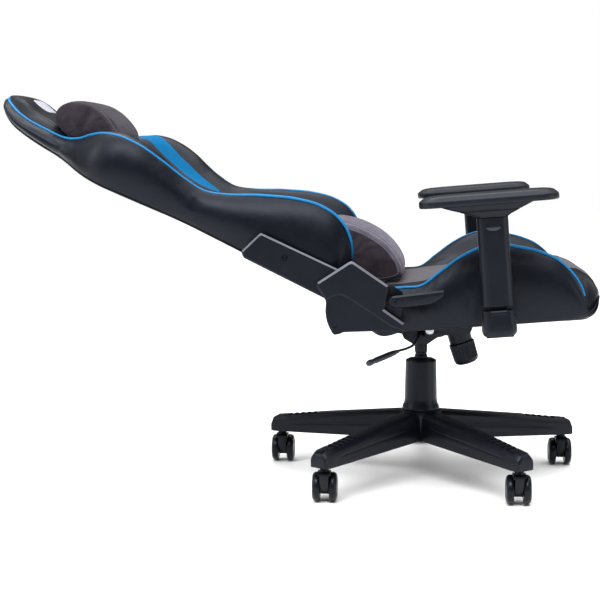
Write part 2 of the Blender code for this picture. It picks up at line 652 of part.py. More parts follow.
def make_recline_lever(materials, seat):
    axis = make_empty("recline_lever_axis", (LEVER_PIVOT[0], 0, LEVER_PIVOT[1]), parent=seat)
    outline = [(x - LEVER_PIVOT[0], z - LEVER_PIVOT[1]) for x, z in LEVER_OUTLINE]
    mesh = prism_mesh("recline_lever", outline, *span(SIDES["right"], LEVER_Y))
    lever = add_object("recline_lever", mesh, materials["plastic"], axis)
    across = make_empty("recline_lever_pin_place", (0, 0, 0), parent=axis)
    across.rotation_euler = (pi / 2, 0, 0)
    pin = bar_profile(0.005, SEAT_PLATE_Y[1] + GAP, 0.285)
    join(lever, turned_mesh("recline_lever_pin", pin, 12), across)


def main():
    clear_scene()
    materials = {
        "leather": make_material("black_leather", (0.014, 0.015, 0.019), 0.42),
        "plush": make_material("dark_plush", (0.060, 0.054, 0.066), 0.9),
        "plastic": make_material("black_plastic", (0.018, 0.020, 0.024), 0.5),
        "rubber": make_material("arm_pad_rubber", (0.022, 0.024, 0.028), 0.45),
        "wheel": make_material("wheel_nylon", (0.010, 0.010, 0.013), 0.35),
        "steel": make_material("black_steel", (0.012, 0.012, 0.014), 0.45, 0.6),
        "bright": make_material("bright_steel", (0.55, 0.56, 0.58), 0.3, 1.0),
        "wood": make_material("plywood", (0.45, 0.32, 0.19), 0.7),
    }
    make_base(materials["plastic"])
    for k in range(BASE_ARMS):
        make_caster(k, materials)
    make_column(materials)
    seat = make_empty("seat_frame_axes", TILT_PIVOT + Vector((COLUMN_X, 0, 0)), turn_y=-SEAT_SLOPE)
    back = make_empty("back_frame_axes", RECLINE_PIVOT + Vector((COLUMN_X, 0, 0)), turn_y=-BACK_LEAN)
    make_mechanism(materials, seat)
    make_seat(materials, seat)
    for side, sign in SIDES.items():
        make_armrest(side, sign, materials, seat)
        make_hinge(side, sign, materials, back)
    make_recline_lever(materials, seat)
    make_back(materials, back)
    bpy.context.view_layer.update()


main()
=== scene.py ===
import json
from math import cos, pi, radians, sin

import bmesh
import bpy
import numpy as np
from mathutils import Matrix, Vector
from mathutils.bvhtree import BVHTree


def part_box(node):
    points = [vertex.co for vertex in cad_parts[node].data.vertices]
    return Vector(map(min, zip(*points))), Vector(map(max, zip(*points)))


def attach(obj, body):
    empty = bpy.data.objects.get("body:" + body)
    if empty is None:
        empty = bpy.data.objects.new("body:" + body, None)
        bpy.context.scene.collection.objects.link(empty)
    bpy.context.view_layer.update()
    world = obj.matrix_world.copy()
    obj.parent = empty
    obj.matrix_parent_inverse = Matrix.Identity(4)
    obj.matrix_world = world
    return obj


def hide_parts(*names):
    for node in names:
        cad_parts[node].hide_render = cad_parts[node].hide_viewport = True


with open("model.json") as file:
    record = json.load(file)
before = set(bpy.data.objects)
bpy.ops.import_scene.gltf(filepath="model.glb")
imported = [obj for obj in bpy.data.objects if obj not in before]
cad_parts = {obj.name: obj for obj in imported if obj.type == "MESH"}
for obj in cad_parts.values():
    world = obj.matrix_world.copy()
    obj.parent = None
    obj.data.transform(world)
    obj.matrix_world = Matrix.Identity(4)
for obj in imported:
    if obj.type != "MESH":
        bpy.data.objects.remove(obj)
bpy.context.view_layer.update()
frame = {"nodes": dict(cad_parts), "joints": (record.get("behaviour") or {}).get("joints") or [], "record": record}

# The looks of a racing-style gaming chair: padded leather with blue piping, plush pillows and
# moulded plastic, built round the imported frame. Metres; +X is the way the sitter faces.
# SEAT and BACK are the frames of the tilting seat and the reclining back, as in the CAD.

PLACES = {joint["name"]: Vector(joint["pos_m"]) for joint in frame["joints"] if "pos_m" in joint}
COLUMN_X = PLACES["seat_swivel"].x
SEAT_PITCH, BACK_LEAN = radians(4.3), radians(63.4)
COLUMN = Matrix.Translation(Vector((COLUMN_X, 0, 0)))
SEAT = Matrix.Translation(PLACES["seat_tilt"]) @ Matrix.Rotation(-SEAT_PITCH, 4, "Y")
BACK = Matrix.Translation(PLACES["back_recline"]) @ Matrix.Rotation(-BACK_LEAN, 4, "Y")
SIDES = {"right": -1, "left": 1}
SLOTS = {  # the record's material slot for each look; a slot's first look is its plain one
    "plastic": "plastic", "grip": "plastic", "caster": "caster_plastic", "wheel": "wheel_plastic",
    "pad": "arm_pad", "leather": "upholstery", "piping": "upholstery", "thread": "upholstery",
    "label": "upholstery", "plush": "pillow_plush", "plush_front": "pillow_plush",
    "steel": "black_steel", "bright": "bright_steel", "board": "plywood",
}


# Shapes

def shares(count, start=0.0, end=1.0):
    """Evenly spaced values from start to end, both included."""
    return [start + (end - start) * i / count for i in range(count + 1)]


def circle(sides):
    """The angles of evenly spaced points round a circle."""
    return [2 * pi * k / sides for k in range(sides)]


def lengths(points):
    """How far along a path each of its points lies."""
    steps = np.linalg.norm(np.diff(points, axis=0), axis=1)
    return np.concatenate(([0], np.cumsum(steps)))


def spline(knots, values, at):
    """Smooth values at places between knots, by cubic pieces."""
    knots, values, at = (np.asarray(item, float) for item in (knots, values, at))
    slopes = np.gradient(values, knots, axis=0)
    index = np.clip(np.searchsorted(knots, at, "right") - 1, 0, len(knots) - 2)
    step = knots[index + 1] - knots[index]
    t = (at - knots[index]) / step
    if values.ndim > 1:
        t, step = t[:, None], step[:, None]
    rise = (3 - 2 * t) * t * t
    bend = step * t * (1 - t)
    return (values[index] * (1 - rise) + values[index + 1] * rise
            + bend * ((1 - t) * slopes[index] - t * slopes[index + 1]))


def through(points, count):
    """Evenly shared points on a smooth curve through the given ones."""
    points = np.asarray(points, float)
    along = lengths(points)
    return spline(along, points, np.linspace(0, along[-1], count))


def bezier(points, shares):
    """Points on a cubic curve at these shares of its length parameter."""
    a, b, c, d = (np.asarray(point, float) for point in points)
    t = np.asarray(shares, float)[:, None]
    return a * (1 - t) ** 3 + 3 * b * t * (1 - t) ** 2 + 3 * c * t * t * (1 - t) + d * t ** 3


def mesh_from(name, vertices, faces):
    mesh = bpy.data.meshes.new(name)
    mesh.from_pydata([tuple(float(x) for x in v) for v in vertices], [], faces)
    shape = bmesh.new()
    shape.from_mesh(mesh)
    bmesh.ops.recalc_face_normals(shape, faces=shape.faces)
    shape.to_mesh(mesh)
    shape.free()
    return mesh


def loft(name, rings, looped=False):
    """A closed skin over rings of equal point counts, capped unless the last joins the first."""
    count = len(rings[0])
    faces = []
    for i in range(len(rings) if looped else len(rings) - 1):
        low, high = i * count, (i + 1) % len(rings) * count
        for j in range(count):
            k = (j + 1) % count
            faces.append((low + j, low + k, high + k, high + j))
    if not looped:
        faces.append(tuple(range(count)))
        faces.append(tuple(range((len(rings) - 1) * count, len(rings) * count)))
    return mesh_from(name, [point for ring in rings for point in ring], faces)


def turned(name, profile, sides=64, ripple=None):
    """Turns (radius, height) points about Z. A ripple changes the radius round the turn."""
    rings = []
    for radius, height in profile:
        ring = []
        for angle in circle(sides):
            size = max(radius, 1e-5) * (1 + (ripple(angle, height) if ripple else 0))
            ring.append((size * cos(angle), size * sin(angle), height))
        rings.append(ring)
    on_axis = profile[0][0] == 0 and profile[-1][0] == 0
    return loft(name, rings, looped=not on_axis)


def corner_arc(before, corner, after, size, steps):
    """The points that round off one corner of an outline; a size of zero keeps the corner."""
    corner = Vector(corner)
    to_before, to_after = Vector(before) - corner, Vector(after) - corner
    reach = min(size, to_before.length / 2.2, to_after.length / 2.2)
    if reach <= 0:
        return [tuple(corner)]
    start = corner + to_before.normalized() * reach
    end = corner + to_after.normalized() * reach
    return [tuple(start * (1 - t) ** 2 + corner * 2 * t * (1 - t) + end * t * t) for t in shares(steps)]


def round_profile(profile, size, steps):
    """The same (radius, height) profile with its corners rounded off."""
    inner = [point for corner in zip(profile, profile[1:], profile[2:])
             for point in corner_arc(*corner, size, steps)]
    return [profile[0], *inner, profile[-1]]


def round_corners(outline, size, steps=4):
    """A closed outline with its corners rounded off, by one size or by one for each corner."""
    count = len(outline)
    sizes = size if hasattr(size, "__len__") else [size] * count
    return [point for i in range(count)
            for point in corner_arc(outline[i - 1], outline[i], outline[(i + 1) % count], sizes[i], steps)]


def tube(name, points, radius, sides=12, closed=False):
    """A round cord along a path."""
    path = [Vector(point) for point in points]
    last = len(path) - 1
    rings = []
    side = Vector((0.3, 1, 0.1))
    for i, point in enumerate(path):
        before = path[i - 1] if closed or i else point
        after = path[(i + 1) % len(path)] if closed or i < last else point
        ahead = (after - before).normalized()
        side = (side - ahead * side.dot(ahead)).normalized()
        other = ahead.cross(side)
        rings.append([point + radius * (side * cos(angle) + other * sin(angle)) for angle in circle(sides)])
    return loft(name, rings, looped=closed)


def prism(name, outline, low, high):
    """An (x, z) outline pulled along Y."""
    return loft(name, [[(x, y, z) for x, z in outline] for y in (low, high)])


def slice_across(name, outline, half):
    """A (y, z) outline pulled along X, to both sides of the middle."""
    return loft(name, [[(x, y, z) for y, z in outline] for x in (-half, half)])


def box(name, low, high):
    outline = ((low[0], low[2]), (high[0], low[2]), (high[0], high[2]), (low[0], high[2]))
    return prism(name, outline, low[1], high[1])


def rounded_rectangle(half_x, half_y, corner, steps=8):
    points = []
    for quarter, (sx, sy) in enumerate(((1, 1), (-1, 1), (-1, -1), (1, -1))):
        for i in range(steps + 1):
            angle = pi / 2 * (quarter + i / steps)
            x = sx * (half_x - corner) + corner * cos(angle)
            points.append((x, sy * (half_y - corner) + corner * sin(angle)))
    return points


def standing(name, layers, corner):
    """A loft of round-cornered rectangles: (z, half x, half y, middle x) for each layer."""
    rings = []
    for z, half_x, half_y, middle_x in layers:
        size = min(corner, half_x * 0.98, half_y * 0.98)
        rings.append([(middle_x + x, y, z) for x, y in rounded_rectangle(half_x, half_y, size)])
    return loft(name, rings)


# Objects

def show(mesh, place=None):
    """An object under its mesh's own name, with the mesh moved to its place."""
    item = bpy.data.objects.new(mesh.name, mesh)
    bpy.context.scene.collection.objects.link(item)
    if place is not None:
        mesh.transform(place)
    return item


def settle(item):
    """Turns the item's modifiers into plain geometry."""
    graph = bpy.context.evaluated_depsgraph_get()
    graph.update()
    mesh = bpy.data.meshes.new_from_object(item.evaluated_get(graph))
    item.modifiers.clear()
    item.data = mesh
    return item


def combine(item, tools, operation):
    """Joins closed tools to the item, or cuts them away."""
    for tool in tools:
        modifier = item.modifiers.new(tool.name, "BOOLEAN")
        modifier.operation = operation
        modifier.object = tool
    settle(item)
    for tool in tools:
        bpy.data.objects.remove(tool)
    return item


def smooth(item, sharp=None):
    """Shades a piece smooth, apart from the edges that turn by more than the sharp angle."""
    item.data.shade_smooth()
    if sharp:
        item.data.set_sharp_from_angle(angle=radians(sharp))
    return item


def soften(item, width, segments=3, angle=30, sharp=35):
    """Rounds the hard edges of a moulded piece and shades it smooth."""
    shape = bmesh.new()
    shape.from_mesh(item.data)
    bmesh.ops.remove_doubles(shape, verts=shape.verts, dist=2e-5)
    bmesh.ops.dissolve_limit(shape, angle_limit=radians(2), verts=shape.verts, edges=shape.edges)
    shape.to_mesh(item.data)
    shape.free()
    if width:
        bevel = item.modifiers.new("bevel", "BEVEL")
        bevel.width = width
        bevel.segments = segments
        bevel.limit_method = "ANGLE"
        bevel.angle_limit = radians(angle)
        bevel.harden_normals = False
        settle(item)
    return smooth(item, sharp)


def paint(item, *looks):
    item.data.materials.clear()
    for look in looks:
        item.data.materials.append(MATERIALS[look])


def dress(item, look, body, replaces=()):
    """Gives a finished piece its look, its body and the CAD nodes that it stands for."""
    if not item.data.materials:
        paint(item, look)
    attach(item, body)
    if replaces:
        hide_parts(*replaces)
    return item


def lathe(name, profile, place, sides, look, body, node, corner=0.0006, sharp=34, steps=3, ripple=None):
    """A finished piece turned about its place's Z, with its profile's corners rounded off."""
    if corner:
        profile = round_profile(profile, corner, steps)
    item = smooth(show(turned(name, profile, sides, ripple), place), sharp)
    dress(item, look, body, [node])


def add_cord(name, points, radius, look, body, place, sides=12, closed=False):
    """A finished round cord along a path."""
    dress(smooth(show(tube(name, points, radius, sides, closed), place)), look, body)


# Materials

def add_node(nodes, kind, **inputs):
    """A shader node with its input values, in whose names _ stands for a space."""
    node = nodes.new("ShaderNode" + kind)
    for socket, value in inputs.items():
        node.inputs[socket.replace("_", " ")].default_value = value
    return node


class Surface:
    """A Principled material whose colour, roughness and relief come from procedural nodes."""

    def __init__(self, name, color, roughness, **uniform):
        self.material = bpy.data.materials.new(name)
        self.material.use_nodes = True
        self.nodes = self.material.node_tree.nodes
        self.link = self.material.node_tree.links.new
        self.sockets = self.nodes["Principled BSDF"].inputs
        self.sockets["Base Color"].default_value = (*color, 1)
        self.sockets["Roughness"].default_value = roughness
        for socket, value in uniform.items():
            self.sockets[socket.replace("_", " ")].default_value = value
        self.place = add_node(self.nodes, "TexCoord").outputs["Object"]
        self.normal = None

    def noise(self, scale, detail=3.0, roughness=0.6, stretch=None):
        node = add_node(self.nodes, "TexNoise", Scale=scale, Detail=detail, Roughness=roughness)
        place = self.place
        if stretch:
            mapping = add_node(self.nodes, "Mapping", Scale=stretch)
            self.link(place, mapping.inputs["Vector"])
            place = mapping.outputs["Vector"]
        self.link(place, node.inputs["Vector"])
        return node.outputs["Fac"]

    def cells(self, scale):
        node = add_node(self.nodes, "TexVoronoi", Scale=scale)
        self.link(self.place, node.inputs["Vector"])
        return node.outputs["Distance"]

    def tint(self, pattern, low, high, start=0.3, end=0.7):
        """Colours the surface between two colours by a 0-1 pattern."""
        node = add_node(self.nodes, "ValToRGB")
        for element, place, color in zip(node.color_ramp.elements, (start, end), (low, high)):
            element.position = place
            element.color = (*color, 1)
        self.link(pattern, node.inputs["Fac"])
        self.link(node.outputs["Color"], self.sockets["Base Color"])

    def polish(self, pattern, low, high):
        """Varies the roughness between two values by a 0-1 pattern."""
        node = add_node(self.nodes, "MapRange", From_Min=0.3, From_Max=0.7, To_Min=low, To_Max=high)
        self.link(pattern, node.inputs["Value"])
        self.link(node.outputs["Result"], self.sockets["Roughness"])

    def bump(self, height, distance, strength=1.0):
        node = add_node(self.nodes, "Bump", Distance=distance, Strength=strength)
        self.link(height, node.inputs["Height"])
        if self.normal is not None:
            self.link(self.normal, node.inputs["Normal"])
        self.normal = node.outputs["Normal"]
        self.link(self.normal, self.sockets["Normal"])


COOL_GLOSS = (0.8, 0.85, 1.0, 1)
COOL_PILE = (0.86, 0.83, 0.95, 1)


def leather(name, color, light, roughness=(0.31, 0.4), gloss=0.14, sheen=0.0):
    """Coated upholstery leather: pebbled grain, faint creases and a satin finish."""
    surface = Surface(name, color, roughness[0], Sheen_Weight=sheen, Sheen_Roughness=0.45,
                      Specular_IOR_Level=gloss, Specular_Tint=COOL_GLOSS)
    surface.tint(surface.noise(9, 4), color, light, 0.35, 0.7)
    surface.polish(surface.noise(60, 5), *roughness)
    surface.bump(surface.noise(26, 3), 0.0006, 0.35)
    surface.bump(surface.cells(900), 0.00022, 0.55)
    surface.bump(surface.noise(1500, 2), 0.0001, 0.4)
    return surface.material


def plush(name, color, light, sheen):
    """Short pile that shows lighter where it is brushed, over a soft uneven nap."""
    surface = Surface(name, color, 0.92, Sheen_Weight=sheen, Sheen_Roughness=0.38, Sheen_Tint=COOL_PILE,
                      Specular_IOR_Level=0.15)
    surface.tint(surface.noise(38, 5, 0.65), color, light, 0.36, 0.68)
    surface.bump(surface.noise(70, 4), 0.0012, 0.45)
    surface.bump(surface.noise(1400, 3), 0.0006, 0.9)
    return surface.material


def moulded(name, color, light, roughness, grain=0.00018, grain_scale=900):
    """Injection-moulded plastic with an etched texture and slightly uneven gloss."""
    surface = Surface(name, color, roughness[0], Specular_IOR_Level=0.17, Specular_Tint=COOL_GLOSS)
    surface.tint(surface.noise(14, 3), color, light)
    surface.polish(surface.noise(45, 4), *roughness)
    surface.bump(surface.noise(grain_scale, 2), grain, 0.6)
    surface.bump(surface.noise(5, 2), 0.0015, 0.12)
    return surface.material


def metal(name, color, light, roughness, metallic, stretch=None):
    """Coated or bare metal with fine brushing or orange peel."""
    surface = Surface(name, color, roughness[0], Metallic=metallic, Specular_IOR_Level=0.16,
                      Specular_Tint=COOL_GLOSS)
    surface.tint(surface.noise(30, 3), color, light)
    surface.polish(surface.noise(160, 4, 0.6, stretch), *roughness)
    surface.bump(surface.noise(500, 3, 0.6, stretch), 0.00008, 0.5)
    return surface.material


MATERIALS = {
    "leather": leather("black_leather", (0.0019, 0.0027, 0.0048), (0.0034, 0.0044, 0.007)),
    # The seat's top panel: its pale base colour is a painted sheen of light grazing the seat; its rougher finish
    # and sheen weight are its own.
    "panel": leather("panel_leather_painted_sheen", (0.042, 0.038, 0.045), (0.059, 0.054, 0.062), (0.44, 0.56),
                     sheen=0.12),
    "rear": leather("rear_leather", (0.0024, 0.0028, 0.004), (0.0038, 0.0043, 0.0058), (0.7, 0.8),
                    gloss=0.03),
    "blue": leather("blue_leather", (0.0, 0.078, 0.19), (0.0, 0.09, 0.215), (0.6, 0.7),
                    gloss=0.06),
    "piping": leather("piping_blue", (0.0, 0.11, 0.27), (0.001, 0.13, 0.31), (0.42, 0.52),
                      gloss=0.2),
    "label": leather("label_leather", (0.22, 0.22, 0.26), (0.36, 0.36, 0.41), (0.5, 0.6)),
    "plush": plush("dark_plush", (0.012, 0.009, 0.013), (0.0235, 0.0185, 0.025), 0.1),
    "plush_front": plush("ribbed_plush", (0.047, 0.042, 0.056), (0.076, 0.068, 0.09), 0.25),
    "thread": moulded("stitch_thread", (0.03, 0.033, 0.04), (0.045, 0.048, 0.055), (0.6, 0.8)),
    "plastic": moulded("charcoal_plastic", (0.0018, 0.0025, 0.0042), (0.0032, 0.0041, 0.0064),
                       (0.32, 0.42)),
    "caster": moulded("caster_nylon", (0.003, 0.0033, 0.0045), (0.0045, 0.005, 0.0065),
                      (0.28, 0.4), 0.0001),
    "wheel": moulded("wheel_nylon", (0.0025, 0.0028, 0.0038), (0.004, 0.0044, 0.0056),
                     (0.24, 0.34), 0.00006),
    "pad": moulded("arm_pad_skin", (0.004, 0.0047, 0.0066), (0.0062, 0.0072, 0.0094),
                   (0.32, 0.44), 0.00014, 1300),
    # A painted highlight: the same charcoal plastic made paler, for the up-facing chamfers of the covers.
    "rim": moulded("painted_rim_highlight", (0.075, 0.079, 0.092), (0.098, 0.103, 0.118), (0.42, 0.52)),
    "grip": moulded("lever_grip", (0.024, 0.026, 0.033), (0.036, 0.039, 0.048), (0.38, 0.48)),
    "board": moulded("board_cloth", (0.01, 0.01, 0.012), (0.016, 0.016, 0.018), (0.75, 0.9),
                     0.0003, 1800),
    "steel": metal("black_steel", (0.002, 0.0024, 0.0036), (0.0036, 0.0042, 0.0058), (0.32, 0.46), 0.0),
    "bright": metal("bright_steel", (0.3, 0.31, 0.33), (0.4, 0.41, 0.43), (0.24, 0.38), 1.0,
                    (1, 12, 1)),
}


# Camera, light and floor

def make_camera():
    """A long lens from the chair's right side, turned a little towards its back."""
    yaw, pitch, roll = radians(4.839), radians(6.017), radians(-0.278)
    ahead = Vector((-sin(yaw) * cos(pitch), cos(yaw) * cos(pitch), -sin(pitch)))
    right = Vector((cos(yaw), sin(yaw), 0))
    up = right.cross(ahead)
    across = cos(roll) * right + sin(roll) * up
    upward = -sin(roll) * right + cos(roll) * up
    data = bpy.data.cameras.new("camera")
    data.lens = 80.85
    data.sensor_width = 36
    camera = bpy.data.objects.new("camera", data)
    bpy.context.scene.collection.objects.link(camera)
    place = Matrix((across, upward, -ahead)).transposed().to_4x4()
    place.translation = Vector((COLUMN_X - 0.0168, -2.9153, 0.6918))
    camera.matrix_world = place
    bpy.context.scene.camera = camera


WORLD_DARKEST = 0.05
SLANT = (-0.25, 0.0, 0.97)  # the world brightens along this direction
FLOOR_HALF, FLOOR_DROP = 14.0, 0.0005
LIGHTS = (  # name, place, target, size, power
    ("top_softbox", (0.2, 0.2, 3.0), (0.0, 0.0, 0.4), (3.4, 2.0), 70),
    ("front_softbox", (-0.2, -2.0, 2.7), (0.0, 0.0, 0.6), (3.0, 0.9), 118),
    ("left_softbox", (-2.7, -0.6, 2.1), (-0.2, 0.0, 0.6), (1.4, 1.4), 26),
    ("left_panel", (-2.9, -1.1, 1.0), (0.2, 0.0, 0.6), (1.7, 1.8), 16),
    ("right_panel", (3.2, -1.2, 1.0), (0.3, 0.0, 0.6), (1.7, 1.8), 27),
    ("rim_softbox", (2.4, 1.4, 1.6), (0.0, 0.0, 0.5), (1.4, 1.8), 8),
)


def add_lamp(name, kind, power):
    data = bpy.data.lights.new(name, kind)
    data.energy = power
    lamp = bpy.data.objects.new(name, data)
    bpy.context.scene.collection.objects.link(lamp)
    return lamp


def make_world():
    """Bright overhead and dark at the horizon for the chair, but plain white as a backdrop."""
    world = bpy.data.worlds.new("studio")
    bpy.context.scene.world = world
    world.use_nodes = True
    nodes, link = world.node_tree.nodes, world.node_tree.links.new
    slant = add_node(nodes, "VectorMath")
    slant.operation = "DOT_PRODUCT"
    slant.inputs[1].default_value = SLANT
    link(add_node(nodes, "TexCoord").outputs["Generated"], slant.inputs[0])
    ramp = add_node(nodes, "MapRange", From_Min=0.15, From_Max=0.95, To_Min=WORLD_DARKEST, To_Max=1.0)
    ramp.interpolation_type = "SMOOTHSTEP"
    link(slant.outputs["Value"], ramp.inputs["Value"])
    strength = add_node(nodes, "Math")
    strength.operation = "MAXIMUM"
    link(ramp.outputs["Result"], strength.inputs[0])
    link(add_node(nodes, "LightPath").outputs["Is Camera Ray"], strength.inputs[1])
    link(strength.outputs["Value"], nodes["Background"].inputs["Strength"])
    nodes["Background"].inputs["Color"].default_value = (1.0, 1.0, 1.0, 1)


def make_stage():
    bpy.context.scene.view_settings.view_transform = "Standard"
    make_world()
    for name, place, target, size, power in LIGHTS:
        lamp = add_lamp(name, "AREA", power)
        lamp.data.shape = "RECTANGLE"
        lamp.data.size, lamp.data.size_y = size
        lamp.location = place
        lamp.rotation_euler = (Vector(target) - Vector(place)).to_track_quat("-Z", "Y").to_euler()
    add_lamp("open_sky", "SUN", 2.2).data.angle = radians(80)
    half = FLOOR_HALF
    corners = [(x, y, -FLOOR_DROP) for x, y in ((-half, -half), (half, -half), (half, half), (-half, half))]
    floor = show(mesh_from("studio_floor", corners, [(0, 1, 2, 3)]))
    surface = Surface("studio_paint", (0.93, 0.93, 0.93), 0.6)
    surface.polish(surface.noise(3, 2), 0.55, 0.65)
    floor.data.materials.append(surface.material)


make_camera()
make_stage()

NODE_LOOKS = {slot: look for look, slot in reversed(SLOTS.items())}
for part in frame["record"]["subparts"]:
    paint(frame["nodes"][part["node"]], NODE_LOOKS[part["material_slot"]])


# Soft pieces: rings are numbered from the first cap's, and columns round each ring

CAPS = 5  # rings that round off each end of a cushion
SEAM_DEPTH = 0.0022
PIPING_SIZE = 0.003
CLOTH_FRAMES = 20
LEATHER_PRESSURE, LEATHER_CAP = 3.0, 0.004
PILLOW_PRESSURE, PILLOW_CAP, PILLOW_GROWTH = 2.5, 0.005, 0.03


def spaced(rows, step):
    """Places from the first row's to the last row's, about a step apart."""
    start, end = rows[0][0], rows[-1][0]
    return np.linspace(start, end, round((end - start) / step) + 1)


def ring_from(sections):
    """One side's outline as (points, column of each seam), from curves that join end to end."""
    points, seams = [], []
    for section in sections:
        seams.append(len(points))
        points.extend(section[:-1] if section is not sections[-1] else section)
    seams.append(len(points) - 1)
    return points, seams


def dome(rings, steps, depth):
    """Extra rings that close both ends of a loft with a soft round cap."""
    closed = list(rings)
    for index, inner in ((0, 1), (-1, -2)):
        edge = np.array(rings[index], float)
        centre = edge.mean(axis=0)
        outward = centre - np.array(rings[inner], float).mean(axis=0)
        outward /= np.linalg.norm(outward)
        caps = []
        for angle in shares(steps, 0, pi / 2)[1:]:
            size = max(cos(angle), 0.06)
            caps.append(centre + (edge - centre) * size + outward * depth * sin(angle))
        closed = caps[::-1] + closed if index == 0 else closed + caps
    return closed


def puff(item, pinned, pressure, cap, growth):
    """Swells a closed mesh between its pinned seams by cloth simulation, by at most the cap."""
    seams = item.vertex_groups.new(name="seams")
    seams.add(pinned, 1.0, "REPLACE")
    cloth = item.modifiers.new("cloth", "CLOTH")
    settings = cloth.settings
    settings.quality = 6
    settings.mass = 0.4
    settings.tension_stiffness = 12
    settings.compression_stiffness = 12
    settings.shear_stiffness = 5
    settings.bending_stiffness = 1.2
    settings.use_pressure = True
    settings.uniform_pressure_force = pressure
    settings.shrink_min = -growth
    settings.vertex_group_mass = "seams"
    settings.effector_weights.gravity = 0
    scene = bpy.context.scene
    for number in range(1, CLOTH_FRAMES + 1):
        scene.frame_set(number)
    swollen = item.evaluated_get(bpy.context.evaluated_depsgraph_get()).data
    before = np.empty(len(item.data.vertices) * 3, np.float32)
    after = np.empty_like(before)
    item.data.vertices.foreach_get("co", before)
    swollen.vertices.foreach_get("co", after)
    move = (after - before).reshape(-1, 3)
    length = np.linalg.norm(move, axis=1, keepdims=True) + 1e-9
    limits = np.broadcast_to(np.reshape(cap, (-1, 1)), length.shape)
    move *= limits * np.tanh(length / limits) / length
    item.modifiers.remove(cloth)
    item.vertex_groups.remove(seams)
    scene.frame_set(1)
    item.data.vertices.foreach_set("co", (before.reshape(-1, 3) + move).ravel())
    item.data.update()


def mirrored(half):
    """A whole ring from its y >= 0 half, which starts and ends on the middle plane."""
    return half + [(x, -y, z) for x, y, z in reversed(half[1:-1])]


def seam_rows(seams, count):
    """The columns of a mirrored ring that lie on seams, on both sides."""
    return sorted(set(seams) | {(count - column) % count for column in seams})


def cushion(name, rings, looks, look_of, held, seam, growth):
    """A cover over its rings, swollen between its held columns, with its panel seam sunk in."""
    closed = dome(rings, CAPS, 0.004)
    count = len(rings[0])
    item = show(loft(name, closed))
    paint(item, *looks)
    for face in item.data.polygons[:(len(closed) - 1) * count]:
        face.material_index = look_of(*divmod(face.index, count))
    columns = seam_rows(held, count)
    pinned = [ring * count + column for ring in range(len(closed)) for column in columns]
    puff(item, pinned, LEATHER_PRESSURE, LEATHER_CAP, growth)
    sink(item, [ring * count + column for column in (seam, count - seam)
                for ring in range(CAPS, CAPS + len(rings))])
    return item


def sink(item, indices):
    """Moves these vertices into the cushion, each along its own normal."""
    vertices = item.data.vertices
    for index, normal in [(index, vertices[index].normal.copy()) for index in indices]:
        vertices[index].co -= normal * SEAM_DEPTH


def cover(item, place, look, body, node):
    modifier = item.modifiers.new("subdivision", "SUBSURF")
    modifier.levels = 1
    modifier.render_levels = 1
    smooth(settle(item))
    item.data.transform(place)
    dress(item, look, body, [node])


STITCH_STEP, STITCH_LENGTH, STITCH_SIZE = 0.0052, 0.0034, 0.00042
STITCH_SIDES = 5


def stitches(path, normals):
    """The vertices and faces of thread stitches that sink into the leather at both ends."""
    along = lengths(path)
    vertices, faces = [], []
    lifts = STITCH_SIZE * np.array((-1.4, 0.7, 0.7, -1.4))
    for i in range(int(along[-1] / STITCH_STEP)):
        places = (i + 0.5) * STITCH_STEP + STITCH_LENGTH * np.array((-0.5, -0.3, 0.3, 0.5))
        points = [Vector([np.interp(at, along, path[:, axis]) for axis in range(3)]) for at in places]
        out = Vector([np.interp(places[1], along, normals[:, axis]) for axis in range(3)]).normalized()
        across = (points[-1] - points[0]).cross(out).normalized()
        base = len(vertices)
        for point, lift in zip(points, lifts):
            for angle in circle(STITCH_SIDES):
                offset = STITCH_SIZE * (across * cos(angle) + out * sin(angle))
                vertices.append(point + out * lift + offset)
        for row in range(3):
            low = base + row * STITCH_SIDES
            for k in range(STITCH_SIDES):
                a, b = low + k, low + (k + 1) % STITCH_SIDES
                faces.append((a, b, b + STITCH_SIDES, a + STITCH_SIDES))
        for low in (base, base + 3 * STITCH_SIDES):
            faces.append(tuple(range(low, low + STITCH_SIDES)))
    return vertices, faces


def add_thread(name, item, count, seam, rings, place, body):
    """Two rows of stitches on the bolsters' side of the panel seam, one for each bolster."""
    cover_vertices = item.data.vertices
    vertices, faces = [], []
    for column, next_column in ((seam, seam + 1), (count - seam, count - seam - 1)):
        path, normals = [], []
        for ring in rings:
            near = cover_vertices[ring * count + column]
            far = cover_vertices[ring * count + next_column]
            path.append(near.co.lerp(far.co, 0.45))
            normals.append(near.normal.lerp(far.normal, 0.7).normalized())
        run, run_faces = stitches(np.asarray(path, float), np.asarray(normals, float))
        faces += [tuple(index + len(vertices) for index in face) for face in run_faces]
        vertices += run
    dress(show(mesh_from(name, vertices, faces), place), "thread", body)


# The back: z runs up it and x out of its front

